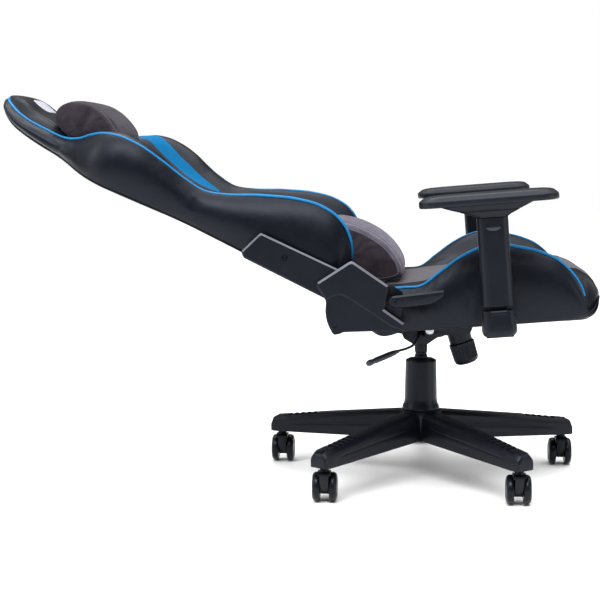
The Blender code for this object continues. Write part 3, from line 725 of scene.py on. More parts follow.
BACK_ROWS = (  # z, half width, piping x, middle x, rear x, panel half width
    (0.047, 0.234, 0.070, 0.018, -0.008, 0.150),
    (0.058, 0.248, 0.092, 0.021, -0.016, 0.154),
    (0.080, 0.257, 0.117, 0.024, -0.021, 0.158),
    (0.105, 0.260, 0.131, 0.024, -0.023, 0.160),
    (0.145, 0.260, 0.137, 0.024, -0.023, 0.162),
    (0.200, 0.258, 0.127, 0.024, -0.023, 0.163),
    (0.260, 0.254, 0.104, 0.024, -0.023, 0.163),
    (0.330, 0.250, 0.074, 0.024, -0.023, 0.163),
    (0.370, 0.250, 0.062, 0.024, -0.023, 0.163),
    (0.415, 0.255, 0.066, 0.024, -0.024, 0.164),
    (0.470, 0.268, 0.079, 0.025, -0.026, 0.166),
    (0.525, 0.279, 0.088, 0.027, -0.028, 0.166),
    (0.570, 0.277, 0.086, 0.029, -0.030, 0.160),
    (0.603, 0.260, 0.075, 0.031, -0.030, 0.150),
    (0.632, 0.226, 0.056, 0.032, -0.030, 0.136),
    (0.660, 0.188, 0.034, 0.032, -0.029, 0.122),
    (0.690, 0.163, 0.020, 0.032, -0.027, 0.112),
    (0.745, 0.154, 0.016, 0.033, -0.023, 0.106),
    (0.782, 0.151, 0.017, 0.036, -0.018, 0.102),
    (0.810, 0.144, 0.021, 0.044, -0.012, 0.096),
    (0.832, 0.130, 0.027, 0.045, -0.003, 0.086),
    (0.850, 0.106, 0.032, 0.041, 0.007, 0.070),
    (0.860, 0.072, 0.033, 0.037, 0.016, 0.048),
)
# Where the blue stripe's two edges lie on the bolster's inner slope, as shares of the slope
STRIPE_ROWS = ((0.047, 0.42, 0.60), (0.330, 0.36, 0.45), (0.392, 0.26, 0.29), (0.404, 0.20, 0.32),
               (0.420, 0.15, 0.35), (0.442, 0.12, 0.38), (0.474, 0.15, 0.40), (0.496, 0.20, 0.43),
               (0.514, 0.24, 0.46), (0.540, 0.30, 0.54), (0.554, 0.34, 0.60), (0.574, 0.41, 0.73),
               (0.590, 0.51, 0.83), (0.604, 0.61, 0.91), (0.618, 0.72, 0.94), (0.640, 0.72, 0.94),
               (0.860, 0.50, 0.80))
STRIPE_ENDS = (0.392, 0.62)
WING = (0.44, 0.48, 0.59, 0.64)  # heights where the wing's crest starts and stops standing proud
TUCK = (0.27, 0.34, 0.59, 0.64)  # heights where the piping starts and stops lying behind the crest
BACK_STEP = 0.0075
BACK_CREST_INSET, BACK_EDGE_INSET = 0.024, 0.013  # from the half width to the piping and rear edge
NECK_SEAM = 0.684
LABEL_MIDDLE, LABEL_HALF = 0.795, (0.044, 0.022)
LABEL_LAYERS = ((1, -0.001), (1, 0.0003), (0.97, 0.0009), (0.8, 0.0012), (0.5, 0.0012), (0.15, 0.0012))


def back_half(z, half, edge, middle, rear, panel, inner, outer):
    """The y >= 0 half of one ring: panel, slope with its stripe, side and rear."""
    seam = (middle + 0.001, panel)
    crest = (edge, half - BACK_CREST_INSET)
    rise = edge - middle
    width = crest[1] - panel
    lift = 0.1 + 0.28 * float(np.interp(z, WING, (0, 1, 1, 0)))
    slope = (seam, (middle + 0.06 * rise, panel + 0.4 * width),
             (edge + lift * rise, panel + 0.62 * width), crest)
    depth = edge - rear
    corner = (rear + 0.01, half - BACK_EDGE_INSET)
    side = (crest, (edge - 0.13 * depth, half - 0.003), (rear + 0.42 * depth, half + 0.014), corner)
    sections = (
        bezier(((middle + 0.004, 0), (middle + 0.004, panel * 0.4), (middle + 0.004, panel * 0.8), seam),
               shares(14)),
        bezier(slope, shares(4, 0, inner)),
        bezier(slope, shares(4, inner, outer)),
        bezier(slope, shares(5, outer, 1)),
        bezier(side, shares(13)),
        bezier((corner, (rear - 0.001, half - 0.02), (rear, half * 0.6), (rear, 0)), shares(18)),
    )
    points, seams = ring_from(sections)
    return [(x, y, z) for x, y in points], seams


def back_table(heights):
    rows = np.array(BACK_ROWS)
    stripe = np.array(STRIPE_ROWS)
    shape = spline(rows[:, 0], rows[:, 1:], heights)
    edges = np.stack([np.interp(heights, stripe[:, 0], stripe[:, k]) for k in (1, 2)], axis=1)
    return np.hstack([np.asarray(heights)[:, None], shape, edges])


def make_back():
    heights = spaced(BACK_ROWS, BACK_STEP)
    halves = [back_half(*row) for row in back_table(heights)]
    rings = [mirrored(half) for half, _ in halves]
    _, panel_seam, stripe_low, stripe_high, piping, rear, _ = halves[0][1]
    count = len(rings[0])

    def look_of(ring, column):
        z = heights[min(max(ring - CAPS, 0), len(heights) - 1)]
        column = min(column, count - 1 - column)
        if stripe_low <= column < stripe_high and STRIPE_ENDS[0] < z < STRIPE_ENDS[1]:
            return 1
        return 2 if column >= rear else 0

    held = [panel_seam, piping, *range(rear, count // 2 + 1)]
    item = cushion("backrest_cover", rings, ("leather", "blue", "rear"), look_of, held, panel_seam, 0.002)
    neck = CAPS + int(np.abs(heights - NECK_SEAM).argmin())
    flank = range(piping + 1, rear)
    sink(item, [neck * count + column for column in flank])
    sink(item, [(neck + 1) * count - column for column in flank])
    stitched = range(CAPS + 2, CAPS + len(rings) - 2)
    add_thread("backrest_stitching", item, count, panel_seam, stitched, BACK, "back")
    lines = []
    for sign in SIDES.values():
        column = piping if sign > 0 else count - piping
        lines.append([])
        for ring, z in enumerate(heights):
            tuck = float(np.interp(z, TUCK, (0, 1, 1, 0)))
            point = item.data.vertices[(ring + CAPS) * count + column].co
            lines[-1].append(point + tuck * Vector((-0.0034, sign * 0.0012, 0)))
    cover(item, BACK, "leather", "back", "back_cushion")
    right, left = lines
    over_top = [right[-1].lerp(left[-1], t) + Vector((0, 0, 0.008)) * sin(pi * t) for t in shares(8)[1:-1]]
    path = through(right + over_top + left[::-1], 420)
    add_cord("backrest_piping", path, PIPING_SIZE, "piping", "back", BACK)


# The seat: x runs forward and z out of its top

SEAT_ROWS = (  # x, half width, piping z, middle z, low edge, low middle
    (-0.124, 0.248, 0.094, 0.090, 0.036, 0.0405),
    (-0.112, 0.256, 0.106, 0.102, 0.0240, 0.0365),
    (-0.050, 0.2605, 0.114, 0.113, 0.0222, 0.0365),
    (-0.010, 0.2605, 0.1155, 0.116, 0.0222, 0.0365),
    (0.030, 0.2605, 0.141, 0.118, 0.0222, 0.0365),
    (0.068, 0.2605, 0.165, 0.118, 0.0222, 0.0365),
    (0.103, 0.2605, 0.180, 0.117, 0.0222, 0.0365),
    (0.141, 0.2605, 0.1865, 0.117, 0.0222, 0.0365),
    (0.186, 0.2605, 0.178, 0.117, 0.0222, 0.0365),
    (0.231, 0.2605, 0.1635, 0.117, 0.0222, 0.0365),
    (0.262, 0.2600, 0.1455, 0.120, 0.0220, 0.0365),
    (0.284, 0.2575, 0.1220, 0.122, 0.0215, 0.0365),
    (0.295, 0.2545, 0.1055, 0.122, 0.0212, 0.0330),
    (0.304, 0.2510, 0.0860, 0.120, 0.0215, 0.0295),
    (0.309, 0.2480, 0.0660, 0.117, 0.0220, 0.0270),
    (0.312, 0.2450, 0.0450, 0.115, 0.0225, 0.0265),
    (0.318, 0.2400, 0.0380, 0.111, 0.0250, 0.0275),
    (0.328, 0.2290, 0.0430, 0.103, 0.0310, 0.0320),
    (0.338, 0.2120, 0.0540, 0.090, 0.0440, 0.0450),
    (0.344, 0.1880, 0.0620, 0.077, 0.0560, 0.0560),
)
SEAT_PIPING_END = 0.3105
SEAT_STEP = 0.006
SEAT_PANEL, SEAT_HALF = 0.166, 0.2605  # half widths of the panel and of the whole seat
SEAT_CREST_INSET, SEAT_EDGE_INSET = 0.022, 0.014  # from the half width to the piping and low edge


def seat_half(x, half, edge, middle, low, low_middle):
    """The y >= 0 half of one ring: top panel, bolster slope, side and underside."""
    panel = SEAT_PANEL * half / SEAT_HALF
    seam = (panel, middle + 0.001)
    crest = (half - SEAT_CREST_INSET, edge)
    rise = edge - middle
    width = crest[0] - panel
    bulge = min(max(-rise / 0.03, 0), 1)
    first = (panel + (0.4 + 0.2 * bulge) * width, middle + (0.06 - 0.04 * bulge) * rise + 0.004)
    second = (panel + (0.64 + 0.42 * bulge) * width, edge + (0.1 - 0.62 * bulge) * rise + 0.006)
    slope = (seam, first, second, crest)
    depth = edge - low
    corner = (half - SEAT_EDGE_INSET, low + 0.004)
    side = (crest, (half - 0.002, edge - 0.13 * depth), (half + 0.012, low + 0.44 * depth), corner)
    under = (corner, (half - 0.024, low - 0.001), (half - 0.04, low_middle), (half - 0.06, low_middle))
    sections = (
        bezier(((0, middle + 0.003), (panel * 0.4, middle + 0.004), (panel * 0.8, middle + 0.004), seam),
               shares(16)),
        bezier(slope, shares(12)),
        bezier(side, shares(14)),
        bezier(under, shares(5)),
        bezier((under[-1], (half * 0.6, low_middle), (half * 0.3, low_middle), (0, low_middle)), shares(12)),
    )
    points, seams = ring_from(sections)
    return [(x, y, z) for y, z in points], seams


def make_seat():
    rows = np.array(SEAT_ROWS)
    places = spaced(SEAT_ROWS, SEAT_STEP)
    halves = [seat_half(x, *row) for x, row in zip(places, spline(rows[:, 0], rows[:, 1:], places))]
    rings = [mirrored(half) for half, _ in halves]
    _, panel_seam, piping, low_edge, under, _ = halves[0][1]
    count = len(rings[0])

    def look_of(ring, column):
        return 1 if min(column, count - 1 - column) < panel_seam else 0

    held = [panel_seam, piping, low_edge, under, under + 4, under + 8]
    # the top panel's look carries a painted sheen in its colour
    item = cushion("seat_cover", rings, ("leather", "panel"), look_of, held, panel_seam, 0.003)
    stitched = range(CAPS + 2, CAPS + len(rings) - 4)
    add_thread("seat_stitching", item, count, panel_seam, stitched, SEAT, "seat")
    lines = {}
    for side, sign in SIDES.items():
        column = piping if sign > 0 else count - piping
        lines[side] = [item.data.vertices[(ring + CAPS) * count + column].co.copy()
                       for ring, x in enumerate(places) if x < SEAT_PIPING_END]
    cover(item, SEAT, "leather", "seat", "seat_cushion")
    for side, line in lines.items():
        add_cord(f"seat_piping_{side}", through(line, 220), PIPING_SIZE, "piping", "seat", SEAT)


# Pillows

HEAD_PROFILE = ((0.0425, 0.602), (0.049, 0.593), (0.067, 0.597), (0.082, 0.614), (0.0945, 0.642),
                (0.1015, 0.676), (0.0955, 0.711), (0.08, 0.735), (0.059, 0.742), (0.0425, 0.733))
LUMBAR_PROFILE = ((0.033, 0.148), (0.033, 0.0), (0.046, -0.028), (0.066, -0.058), (0.078, -0.068),
                  (0.093, -0.059), (0.11, -0.034), (0.123, 0.0), (0.128, 0.035), (0.125, 0.08),
                  (0.11, 0.123), (0.084, 0.15), (0.05, 0.159))
PILLOW_CAPS = 7


def closed_curve(points, count):
    """Evenly shared points on a smooth closed curve through the given ones."""
    wrapped = np.asarray([*points[-3:], *points, *points[:4]], float)
    along = lengths(wrapped)
    return spline(along, wrapped, np.linspace(along[3], along[3 + len(points)], count, endpoint=False))


def make_pillow(name, profile, half, ribs, depth, body, node, rib_look):
    """A plush pillow with ribs that run over its front, between two flat side panels."""
    around = 72
    outline = closed_curve(profile, around)
    centre = outline.mean(axis=0)
    rear = outline[:, 0].min()
    rings = []
    for share in shares(ribs * 8, -1, 1):
        size = 1 - 0.1 * abs(share) ** 6
        swell = depth * abs(sin(pi * ribs * (share + 1) / 2)) ** 0.7
        ring = []
        for point in outline:
            out = point - centre
            out /= np.linalg.norm(out)
            front = min(max((point[0] - rear) / 0.03, 0), 1)
            x, z = centre + (point - centre) * size + out * (swell - depth) * front
            ring.append((max(x, rear), share * half, z))
        rings.append(ring)
    closed = dome(rings, PILLOW_CAPS, 0.008)
    ends = (PILLOW_CAPS, len(closed) - 1 - PILLOW_CAPS)
    item = show(loft(name, closed))
    paint(item, "plush", rib_look)
    for face in item.data.polygons[:(len(closed) - 1) * around]:
        if ends[0] <= face.index // around < ends[1]:
            face.material_index = 1
    pinned = [ring * around + column for ring in ends for column in range(around)]
    pinned += [ring * around + column for ring in range(len(closed)) for column in range(around)
               if outline[column][0] < rear + 0.002]
    puff(item, pinned, PILLOW_PRESSURE, PILLOW_CAP, PILLOW_GROWTH)
    seams = [[item.data.vertices[ring * around + column].co.copy() for column in range(around)]
             for ring in ends]
    cover(item, BACK, "plush", body, node)
    for side, seam in zip(SIDES, seams):
        add_cord(f"{node}_seam_{side}", seam, 0.0016, rib_look, body, BACK, 8, closed=True)


def make_headrest_label():
    """A plain light tab sewn flat onto the front of the headrest."""
    graph = bpy.context.evaluated_depsgraph_get()
    backrest = BVHTree.FromObject(bpy.data.objects["backrest_cover"], graph)
    inward = BACK.to_3x3() @ Vector((-1, 0, 0))
    outline = rounded_rectangle(*LABEL_HALF, LABEL_HALF[1] * 0.97)
    rings = []
    for size, lift in LABEL_LAYERS:
        ring = []
        for y, z in outline:
            start = BACK @ Vector((0.3, y * size, LABEL_MIDDLE + z * size))
            ring.append(backrest.ray_cast(start, inward)[0] - inward * lift)
        rings.append(ring)
    dress(smooth(show(loft("headrest_label", rings)), 50), "label", "back")


make_back()
make_headrest_label()
make_seat()
make_pillow("neck_cushion", HEAD_PROFILE, 0.128, 9, 0.0008, "back", "head_pillow", "plush")
make_pillow("lumbar_cushion", LUMBAR_PROFILE, 0.152, 11, 0.005, "lumbar_pillow", "lumbar_pillow",
            "plush_front")


# Moulded and metal pieces

def inset(outline, distance):
    """The outline moved inwards by a distance, with mitred corners."""
    points = [Vector(point) for point in outline]
    area = sum(a.x * b.y - b.x * a.y for a, b in zip(points, points[1:] + points[:1]))
    turn = 1 if area > 0 else -1
    moved = []
    for i, point in enumerate(points):
        before = (point - points[i - 1]).normalized()
        after = (points[(i + 1) % len(points)] - point).normalized()
        inward_a = Vector((-before.y, before.x)) * turn
        inward_b = Vector((-after.y, after.x)) * turn
        middle = (inward_a + inward_b).normalized()
        reach = distance / max(middle.dot(inward_a), 0.5)
        moved.append(tuple(point + middle * reach))
    return moved


def join(item, other):
    """Adds another closed solid's mesh to the item's own."""
    shape = bmesh.new()
    shape.from_mesh(item.data)
    shape.from_mesh(other.data)
    bpy.data.objects.remove(other)
    shape.to_mesh(item.data)
    shape.free()


def plate(name, outline, corners, sign, inner, outer, chamfer, slope=1.0):
    """A flat moulding on one side of the chair whose outer face is chamfered all round."""
    rings = []
    for distance, move in ((inner, 0), (outer - chamfer * slope, 0), (outer, chamfer)):
        ring = round_corners(inset(outline, move), corners)
        rings.append([(x, sign * distance, z) for x, z in ring])
    return loft(name, rings)


def facing(point, direction):
    """A frame at a point whose Z points along a direction."""
    turn = Vector(direction).to_track_quat("Z", "Y").to_matrix().to_4x4()
    return Matrix.Translation(Vector(point)) @ turn


def add_screw(name, point, direction, radius, body, look="steel"):
    """A button-head screw that stands on a point, with a six-sided socket."""
    angles = circle(24)
    profile = [(radius, -0.001)]
    for angle in shares(6, 0, pi / 2):
        profile.append((radius * (0.62 + 0.38 * cos(angle)), radius * 0.45 * sin(angle)))
    rings = [[(size * cos(angle), size * sin(angle), height) for angle in angles]
             for size, height in profile]
    key = [radius * 0.5 * cos(pi / 6) / cos((angle % (pi / 3)) - pi / 6) for angle in angles]
    top = profile[-1][1]
    for height in (top, top - radius * 0.4):
        rings.append([(reach * cos(angle), reach * sin(angle), height) for reach, angle in zip(key, angles)])
    dress(smooth(show(loft(name, rings), facing(point, direction)), 40), look, body)


def cylinder(name, radius, low, high, place, sides=32):
    return show(turned(name, ((0, low), (radius, low), (radius, high), (0, high)), sides), place)


# Base, casters and column

ARM_SECTIONS = (  # distance out, half width, low, high, groove depth
    (0.020, 0.0255, 0.0830, 0.1455, 0.0),
    (0.060, 0.0247, 0.0823, 0.1418, 0.0),
    (0.070, 0.0245, 0.0820, 0.1408, 0.0013),
    (0.180, 0.0225, 0.0795, 0.1300, 0.0013),
    (0.292, 0.0214, 0.0758, 0.1155, 0.0013),
    (0.302, 0.0212, 0.0754, 0.1143, 0.0),
    (0.328, 0.0209, 0.0750, 0.1112, 0.0),
    (0.340, 0.0205, 0.0750, 0.1096, 0.0),
    (0.3475, 0.0194, 0.0752, 0.1046, 0.0),
    (0.3505, 0.0178, 0.0765, 0.0985, 0.0),
)
TREADS, TREAD_START, TREAD_STEP = 5, 0.246, 0.015
STEM_OUT = 0.33
WHEEL_RADIUS, WHEEL_INNER = 0.03, 0.0095


def arm_turn(k):
    return COLUMN @ Matrix.Rotation(radians(18 + 72 * k), 4, "Z")


def star_arm(name):
    chamfer, band = 0.0085, 0.003
    rings = []
    for out, half, low, high, groove in ARM_SECTIONS:
        middle = low + 0.5 * (high - low)
        side = [(half, low), (half, middle - band), (half - groove, middle - band + 0.0008),
                (half - groove, middle + band - 0.0008), (half, middle + band),
                (half - 0.0006, high - chamfer), (half - chamfer, high)]
        ring = side + [(-y, z) for y, z in reversed(side)]
        rings.append([(out, y, z) for y, z in ring])
    return loft(name, rings)


def top_of_arm(out):
    """Height of the star arm's top face at a distance from the column."""
    return float(np.interp(out, [row[0] for row in ARM_SECTIONS], [row[3] for row in ARM_SECTIONS]))


def make_base():
    hub = round_profile(((0, 0.078), (0.034, 0.078), (0.041, 0.0835), (0.047, 0.138), (0.045, 0.146),
                         (0, 0.146)), 0.003, 3)
    item = show(turned("star_base", hub, 96), COLUMN)
    combine(item, [show(star_arm(f"arm_tool_{k}"), arm_turn(k)) for k in range(5)], "UNION")
    tools = [cylinder("hub_tool", 0.0248, 0.06, 0.2, COLUMN, 48)]
    slope = (top_of_arm(0.25) - top_of_arm(0.31)) / 0.06
    for k in range(5):
        stem = arm_turn(k) @ Matrix.Translation((STEM_OUT, 0, 0))
        tools.append(cylinder(f"socket_tool_{k}", 0.0058, 0.06, 0.1, stem))
        for i in range(TREADS):
            out = TREAD_START + i * TREAD_STEP
            tool = box(f"tread_tool_{k}_{i}", (-0.0045, -0.014, -0.0045), (0.0045, 0.014, 0.01))
            tilt = Matrix.Translation((out, 0, top_of_arm(out))) @ Matrix.Rotation(slope, 4, "Y")
            tools.append(show(tool, arm_turn(k) @ tilt))
    combine(item, tools, "DIFFERENCE")
    soften(item, 0.001, 2, 28, 32)
    dress(item, "plastic", "base", ["base_star"])
    for k in range(5):
        for i, out in enumerate((0.3235, 0.3355)):
            point = arm_turn(k) @ Vector((out, 0, top_of_arm(out) - 0.0002))
            add_screw(f"star_rivet_{k + 1}_{i + 1}", point, (0, 0, 1), 0.0034, "base")


def wheel_profile(outer):
    """Half of a caster wheel, from its inner face round the tread to the hub cap."""
    radius, inner = WHEEL_RADIUS, WHEEL_INNER
    width = outer - inner
    profile = [(0, inner), (radius - 0.0045, inner), (radius - 0.0012, inner + 0.0008),
               (radius, inner + 0.003), (radius, inner + 0.45 * width)]
    for angle in shares(8, 0, pi / 2)[1:]:
        profile.append((radius - 0.0085 * (1 - cos(angle)), inner + width * (0.45 + 0.55 * sin(angle))))
    return profile + [(radius - 0.01, outer), (radius - 0.0108, outer - 0.0014), (0.0125, outer - 0.002),
                      (0.0118, outer - 0.0004), (0.008, outer), (0, outer)]


def make_casters():
    for k in range(1, 6):
        roll = PLACES[f"caster_roll_{k}"]
        for end, sign in (("front", 1), ("rear", -1)):
            node = f"caster_wheel_{end}_{k}"
            low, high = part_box(node)
            profile = wheel_profile(max(abs(low.x - roll.x), abs(high.x - roll.x)))
            if sign > 0:  # the front wheel carries the axle
                profile[:1] = [(0, -0.0092), (0.0038, -0.0092), (0.0038, WHEEL_INNER)]
            profile = [(radius, sign * height) for radius, height in profile]
            axle = facing(roll, (1, 0, 0))
            lathe(f"wheel_{end}_{k}", profile, axle, 64, "wheel", f"caster_wheels_{k}", node, 0, 38)
        make_hood(k)


def make_hood(k):
    """The arch between a caster's wheels, with small fenders above them and its stem."""
    stem = PLACES[f"caster_swivel_{k}"].copy()
    stem.z = 0
    place = Matrix.Translation(stem)
    fender = [(-0.02, 0.0605), (-0.019, 0.063), (-0.012, 0.0665), (0.012, 0.0665)]
    outline = list(fender)
    for angle in shares(13, 72, -28):
        outline.append((0.02 + 0.0302 * cos(radians(angle)), 0.03 + 0.0312 * sin(radians(angle))))
    outline += [(0.033, 0.0175), (0.014, 0.0165), (-0.006, 0.033)]
    fender += [(0.0235, 0.0632), (0.0235, 0.0608)]
    item = show(slice_across(f"caster_fork_{k}", outline, 0.0087), place)
    tools = [show(slice_across(f"fender_tool_{k}", fender, 0.0128), place)]
    stem_profile = ((0, 0.052), (0.0092, 0.052), (0.01, 0.066), (0.0092, 0.0722), (0.0082, 0.0742),
                    (0.005, 0.0742), (0.005, 0.098), (0, 0.098))
    tools.append(show(turned(f"stem_tool_{k}", stem_profile, 40), place))
    combine(item, tools, "UNION")
    axle = facing(PLACES[f"caster_roll_{k}"], (1, 0, 0))
    combine(item, [cylinder(f"axle_tool_{k}", 0.0042, -0.02, 0.02, axle)], "DIFFERENCE")
    soften(item, 0.0009, 2, 30, 34)
    dress(item, "caster", f"caster_{k}", [f"caster_hood_{k}"])


def make_column():
    lower = ((0.0314, 0.1463), (0.0402, 0.1463), (0.0407, 0.149), (0.04, 0.153), (0.0368, 0.1605),
             (0.0354, 0.168), (0.0334, 0.252), (0.0326, 0.255), (0.0314, 0.255))
    middle = ((0.0294, 0.15), (0.031, 0.15), (0.031, 0.2535), (0.0303, 0.2545), (0.0294, 0.2545))
    upper = ((0.0276, 0.151), (0.029, 0.151), (0.029, 0.2562), (0.0278, 0.2575), (0.0165, 0.2575),
             (0.0146, 0.257), (0.0146, 0.2555), (0.0276, 0.2555))
    gas_body = ((0, 0.29), (0.0056, 0.29), (0.0056, 0.098), (0.014, 0.098), (0.014, 0.26),
                (0.0138, 0.264), (0.0124, 0.2665), (0.0124, 0.27), (0.0139, 0.2725), (0.014, 0.312),
                (0.0038, 0.312), (0.0038, 0.298), (0, 0.298))
    gas_tube = ((0, 0.082), (0.0245, 0.082), (0.0245, 0.243), (0.0205, 0.243), (0.0205, 0.0862), (0, 0.0862))
    for name, profile, node, look, body in (
        ("sleeve_lower", lower, "column_cover_lower", "plastic", "base"),
        ("sleeve_middle", middle, "column_cover_middle", "plastic", "cover_middle"),
        ("sleeve_upper", upper, "column_cover_upper", "plastic", "mechanism"),
        ("gas_spring_body", gas_body, "gas_cylinder", "steel", "mechanism"),
        ("gas_spring_tube", gas_tube, "gas_outer_tube", "steel", "base"),
    ):
        lathe(name, profile, COLUMN, 96, look, body, node)


def make_mechanism():
    sheets = [("mechanism_housing", "tilt_housing", 0.0018, "steel", "mechanism"),
              ("tilt_plate", "tilt_frame", 0.0009, "steel", "seat"),
              ("seat_base_panel", "seat_board", 0.003, "board", "seat")]
    for node, name, width, body in (("arm_bracket", "arm_bar", 0.001, "seat"),
                                    ("seat_hinge_plate", "seat_plate", 0.0006, "seat"),
                                    ("back_hinge_arm", "back_plate", 0.0006, "back")):
        sheets += [(f"{node}_{side}", f"{name}_{side}", width, "steel", body) for side in SIDES]
    for node, name, width, look, body in sheets:
        mesh = frame["nodes"][node].data.copy()
        mesh.name = name
        dress(soften(show(mesh), width, 2), look, body, [node])
    bolt = ((0, -0.05), (0.005, -0.05), (0.005, 0.0458), (0.0092, 0.0458), (0.0092, 0.05),
            (0.0066, 0.052), (0, 0.052))
    shaft = ((0, -0.277), (0.006, -0.277), (0.006, 0.277), (0, 0.277))
    tilt, recline = (facing(PLACES[joint], (0, -1, 0)) for joint in ("seat_tilt", "back_recline"))
    lathe("pivot_bolt", bolt, tilt, 48, "bright", "mechanism", "tilt_pivot_shaft", 0.0008)
    lathe("recline_shaft", shaft, recline, 40, "steel", "back", "recline_cross_shaft", 0.001)
    down = SEAT.to_3x3() @ Vector((0, 0, -1))
    for i, (x, y) in enumerate(((-0.085, -0.075), (-0.085, 0.075), (0.15, -0.075), (0.15, 0.075))):
        add_screw(f"frame_bolt_{i + 1}", SEAT @ Vector((x, y, 0.014)), down, 0.0065, "seat", "bright")
    make_height_lever()
    make_knob()


def make_height_lever():
    bend, end = Vector((-0.051, -0.11, 0.287)), Vector((-0.108, -0.22, 0.278))
    along = (end - bend).normalized()
    route = [(0, 0.005, 0.3203), (0, -0.03, 0.3203), (0, -0.044, 0.3198), (-0.005, -0.0535, 0.311),
             (-0.016, -0.063, 0.2955), (-0.031, -0.08, 0.2895), bend - along * 0.012, bend + along * 0.004]
    item = smooth(show(tube("lever_rod", through(route, 60), 0.0028, 20), COLUMN), 40)
    dress(item, "steel", "height_lever", ["height_lever"])
    reach = (end - bend).length
    profile = [(0.0029, -0.004), (0.004, -0.004), (0.0046, 0.004), (0.0058, 0.016), (0.0062, 0.03)]
    ribs, rib_step = 7, 0.0085
    for i in range(ribs):
        start = 0.034 + i * rib_step
        profile += [(0.0063, start), (0.0063, start + 0.0055), (0.0057, start + 0.0062),
                    (0.0057, start + 0.0078)]
    profile += [(0.0056, reach - 0.026), (0.0048, reach - 0.023), (0.0048, reach - 0.02),
                (0.0062, reach - 0.017), (0.0066, reach - 0.008), (0.0056, reach - 0.0015),
                (0.0035, reach), (0, reach), (0, 0.004), (0.0029, 0.004)]
    place = COLUMN @ facing(bend, along)
    lathe("lever_grip", profile, place, 40, "grip", "height_lever", "height_lever_grip", sharp=40, steps=2)


def make_knob():
    place = Matrix.Translation(PLACES["tension_knob_turn"]) @ Matrix.Rotation(-radians(17), 4, "Y")
    grip_low, grip_high, flutes = -0.054, -0.0205, 26
    profile = [(0, -0.065), (0.015, -0.065), (0.02, -0.064), (0.025, -0.06), (0.0266, -0.055)]
    for share in shares(8):
        profile.append((0.0268 + 0.0008 * share, grip_low + (grip_high - grip_low) * share))
    profile += [(0.0278, -0.0185), (0.0262, -0.017), (0.004, -0.017), (0.004, 0.022), (0, 0.022)]

    def ripple(angle, height):
        if not grip_low - 0.0005 < height < grip_high + 0.0005:
            return 0
        fade = min((height - grip_low) / 0.004, (grip_high - height) / 0.004, 1)
        return -0.045 * max(fade, 0) * max(cos(flutes * angle), 0) ** 2

    lathe("tension_dial", profile, place, flutes * 8, "plastic", "tension_knob", "tension_knob", 0, 38,
          ripple=ripple)


# Recline hinge: outlines are (x, z) from the foot of the column

COVER_OUTLINE = ((-0.174, 0.344), (-0.162, 0.346), (-0.154, 0.35), (-0.072, 0.353), (-0.036, 0.347),
                 (-0.034, 0.368), (-0.074, 0.396), (-0.065, 0.442), (-0.138, 0.492), (-0.206, 0.448),
                 (-0.206, 0.439), (-0.188, 0.412), (-0.19, 0.389), (-0.186, 0.367))
COVER_CORNERS = (0.006, 0.004, 0.01, 0.012, 0.003, 0.002, 0.002, 0.003, 0.006, 0.005, 0.005, 0.006,
                 0.008, 0.01)
COVER_FACE = ((-0.206, 0.448), (-0.206, 0.439), (-0.188, 0.412), (-0.176, 0.42), (-0.16, 0.424),
              (-0.146, 0.418), (-0.06, 0.361), (-0.036, 0.352), (-0.034, 0.368), (-0.074, 0.396),
              (-0.065, 0.442), (-0.138, 0.492))
FACE_CORNERS = (0.005, 0.005, 0.003, 0.008, 0.008, 0.012, 0.004, 0.001, 0.002, 0.002, 0.003, 0.006)
COVER_HOLLOW = ((-0.17, 0.352), (-0.045, 0.36), (-0.044, 0.366), (-0.082, 0.394), (-0.072, 0.446),
                (-0.05, 0.52), (-0.24, 0.52), (-0.24, 0.402), (-0.185, 0.402), (-0.186, 0.389),
                (-0.182, 0.367))
BRACKET_OUTLINE = ((-0.0205, 0.047), (0.044, 0.047), (0.043, 0.07), (0.039, 0.2295),
                   (-0.011, 0.2475), (-0.0205, 0.239))
BRACKET_CORNERS = (0.001, 0.001, 0.002, 0.004, 0.004, 0.005)
LEVER_PIVOT = (-0.0644, 0.0921)
LEVER_OUTLINE = ((-0.062, 0.0795), (0.008, 0.083), (0.03, 0.096), (0.036, 0.1035),
                 (0.033, 0.1075), (-0.058, 0.1035), (-0.07, 0.103), (-0.076, 0.098),
                 (-0.0775, 0.0915), (-0.074, 0.0835))
LEVER_CORNERS = (0.004, 0.006, 0.004, 0.003, 0.003, 0.006, 0.004, 0.004, 0.004, 0.004)


def paint_rim_highlight(item, sign):
    """Paints a highlight on a plate's chamfer: the paler look wherever the chamfer faces up."""
    paint(item, "plastic", "rim")
    turn = item.matrix_world.to_3x3()
    for face in item.data.polygons:
        normal = turn @ face.normal
        # painted highlight on the chamfer faces that look up
        if 0.3 < sign * normal.y < 0.93 and normal.z > 0.2:
            face.material_index = 1


def side_span(node):
    """How far from the middle plane a CAD node on one side starts and ends."""
    low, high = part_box(node)
    return sorted((abs(low.y), abs(high.y)))


def make_hinge_covers():
    for side, sign in SIDES.items():
        inner, outer = side_span(f"hinge_cover_{side}")
        shell = plate(f"recline_shell_{side}", COVER_OUTLINE, COVER_CORNERS, sign, inner, outer - 0.0038,
                      0.002)
        item = show(shell, COLUMN)
        face = plate(f"face_tool_{side}", COVER_FACE, FACE_CORNERS, sign, outer - 0.009, outer, 0.0042, 0.7)
        raised = show(face, COLUMN)
        hollow = prism(f"hollow_tool_{side}", COVER_HOLLOW, *sorted((sign * 0.26, sign * (outer - 0.007))))
        combine(item, [show(hollow, COLUMN)], "DIFFERENCE")
        join(item, raised)
        soften(item, 0, sharp=24)
        paint_rim_highlight(item, sign)
        dress(item, "plastic", "seat", [f"hinge_cover_{side}"])
        point = COLUMN @ Vector((-0.172, sign * (outer - 0.003), 0.36))
        add_screw(f"shell_screw_{side}", point, (0, sign, 0), 0.0062, "seat")
        make_bracket_cover(side, sign)
    make_recline_lever()


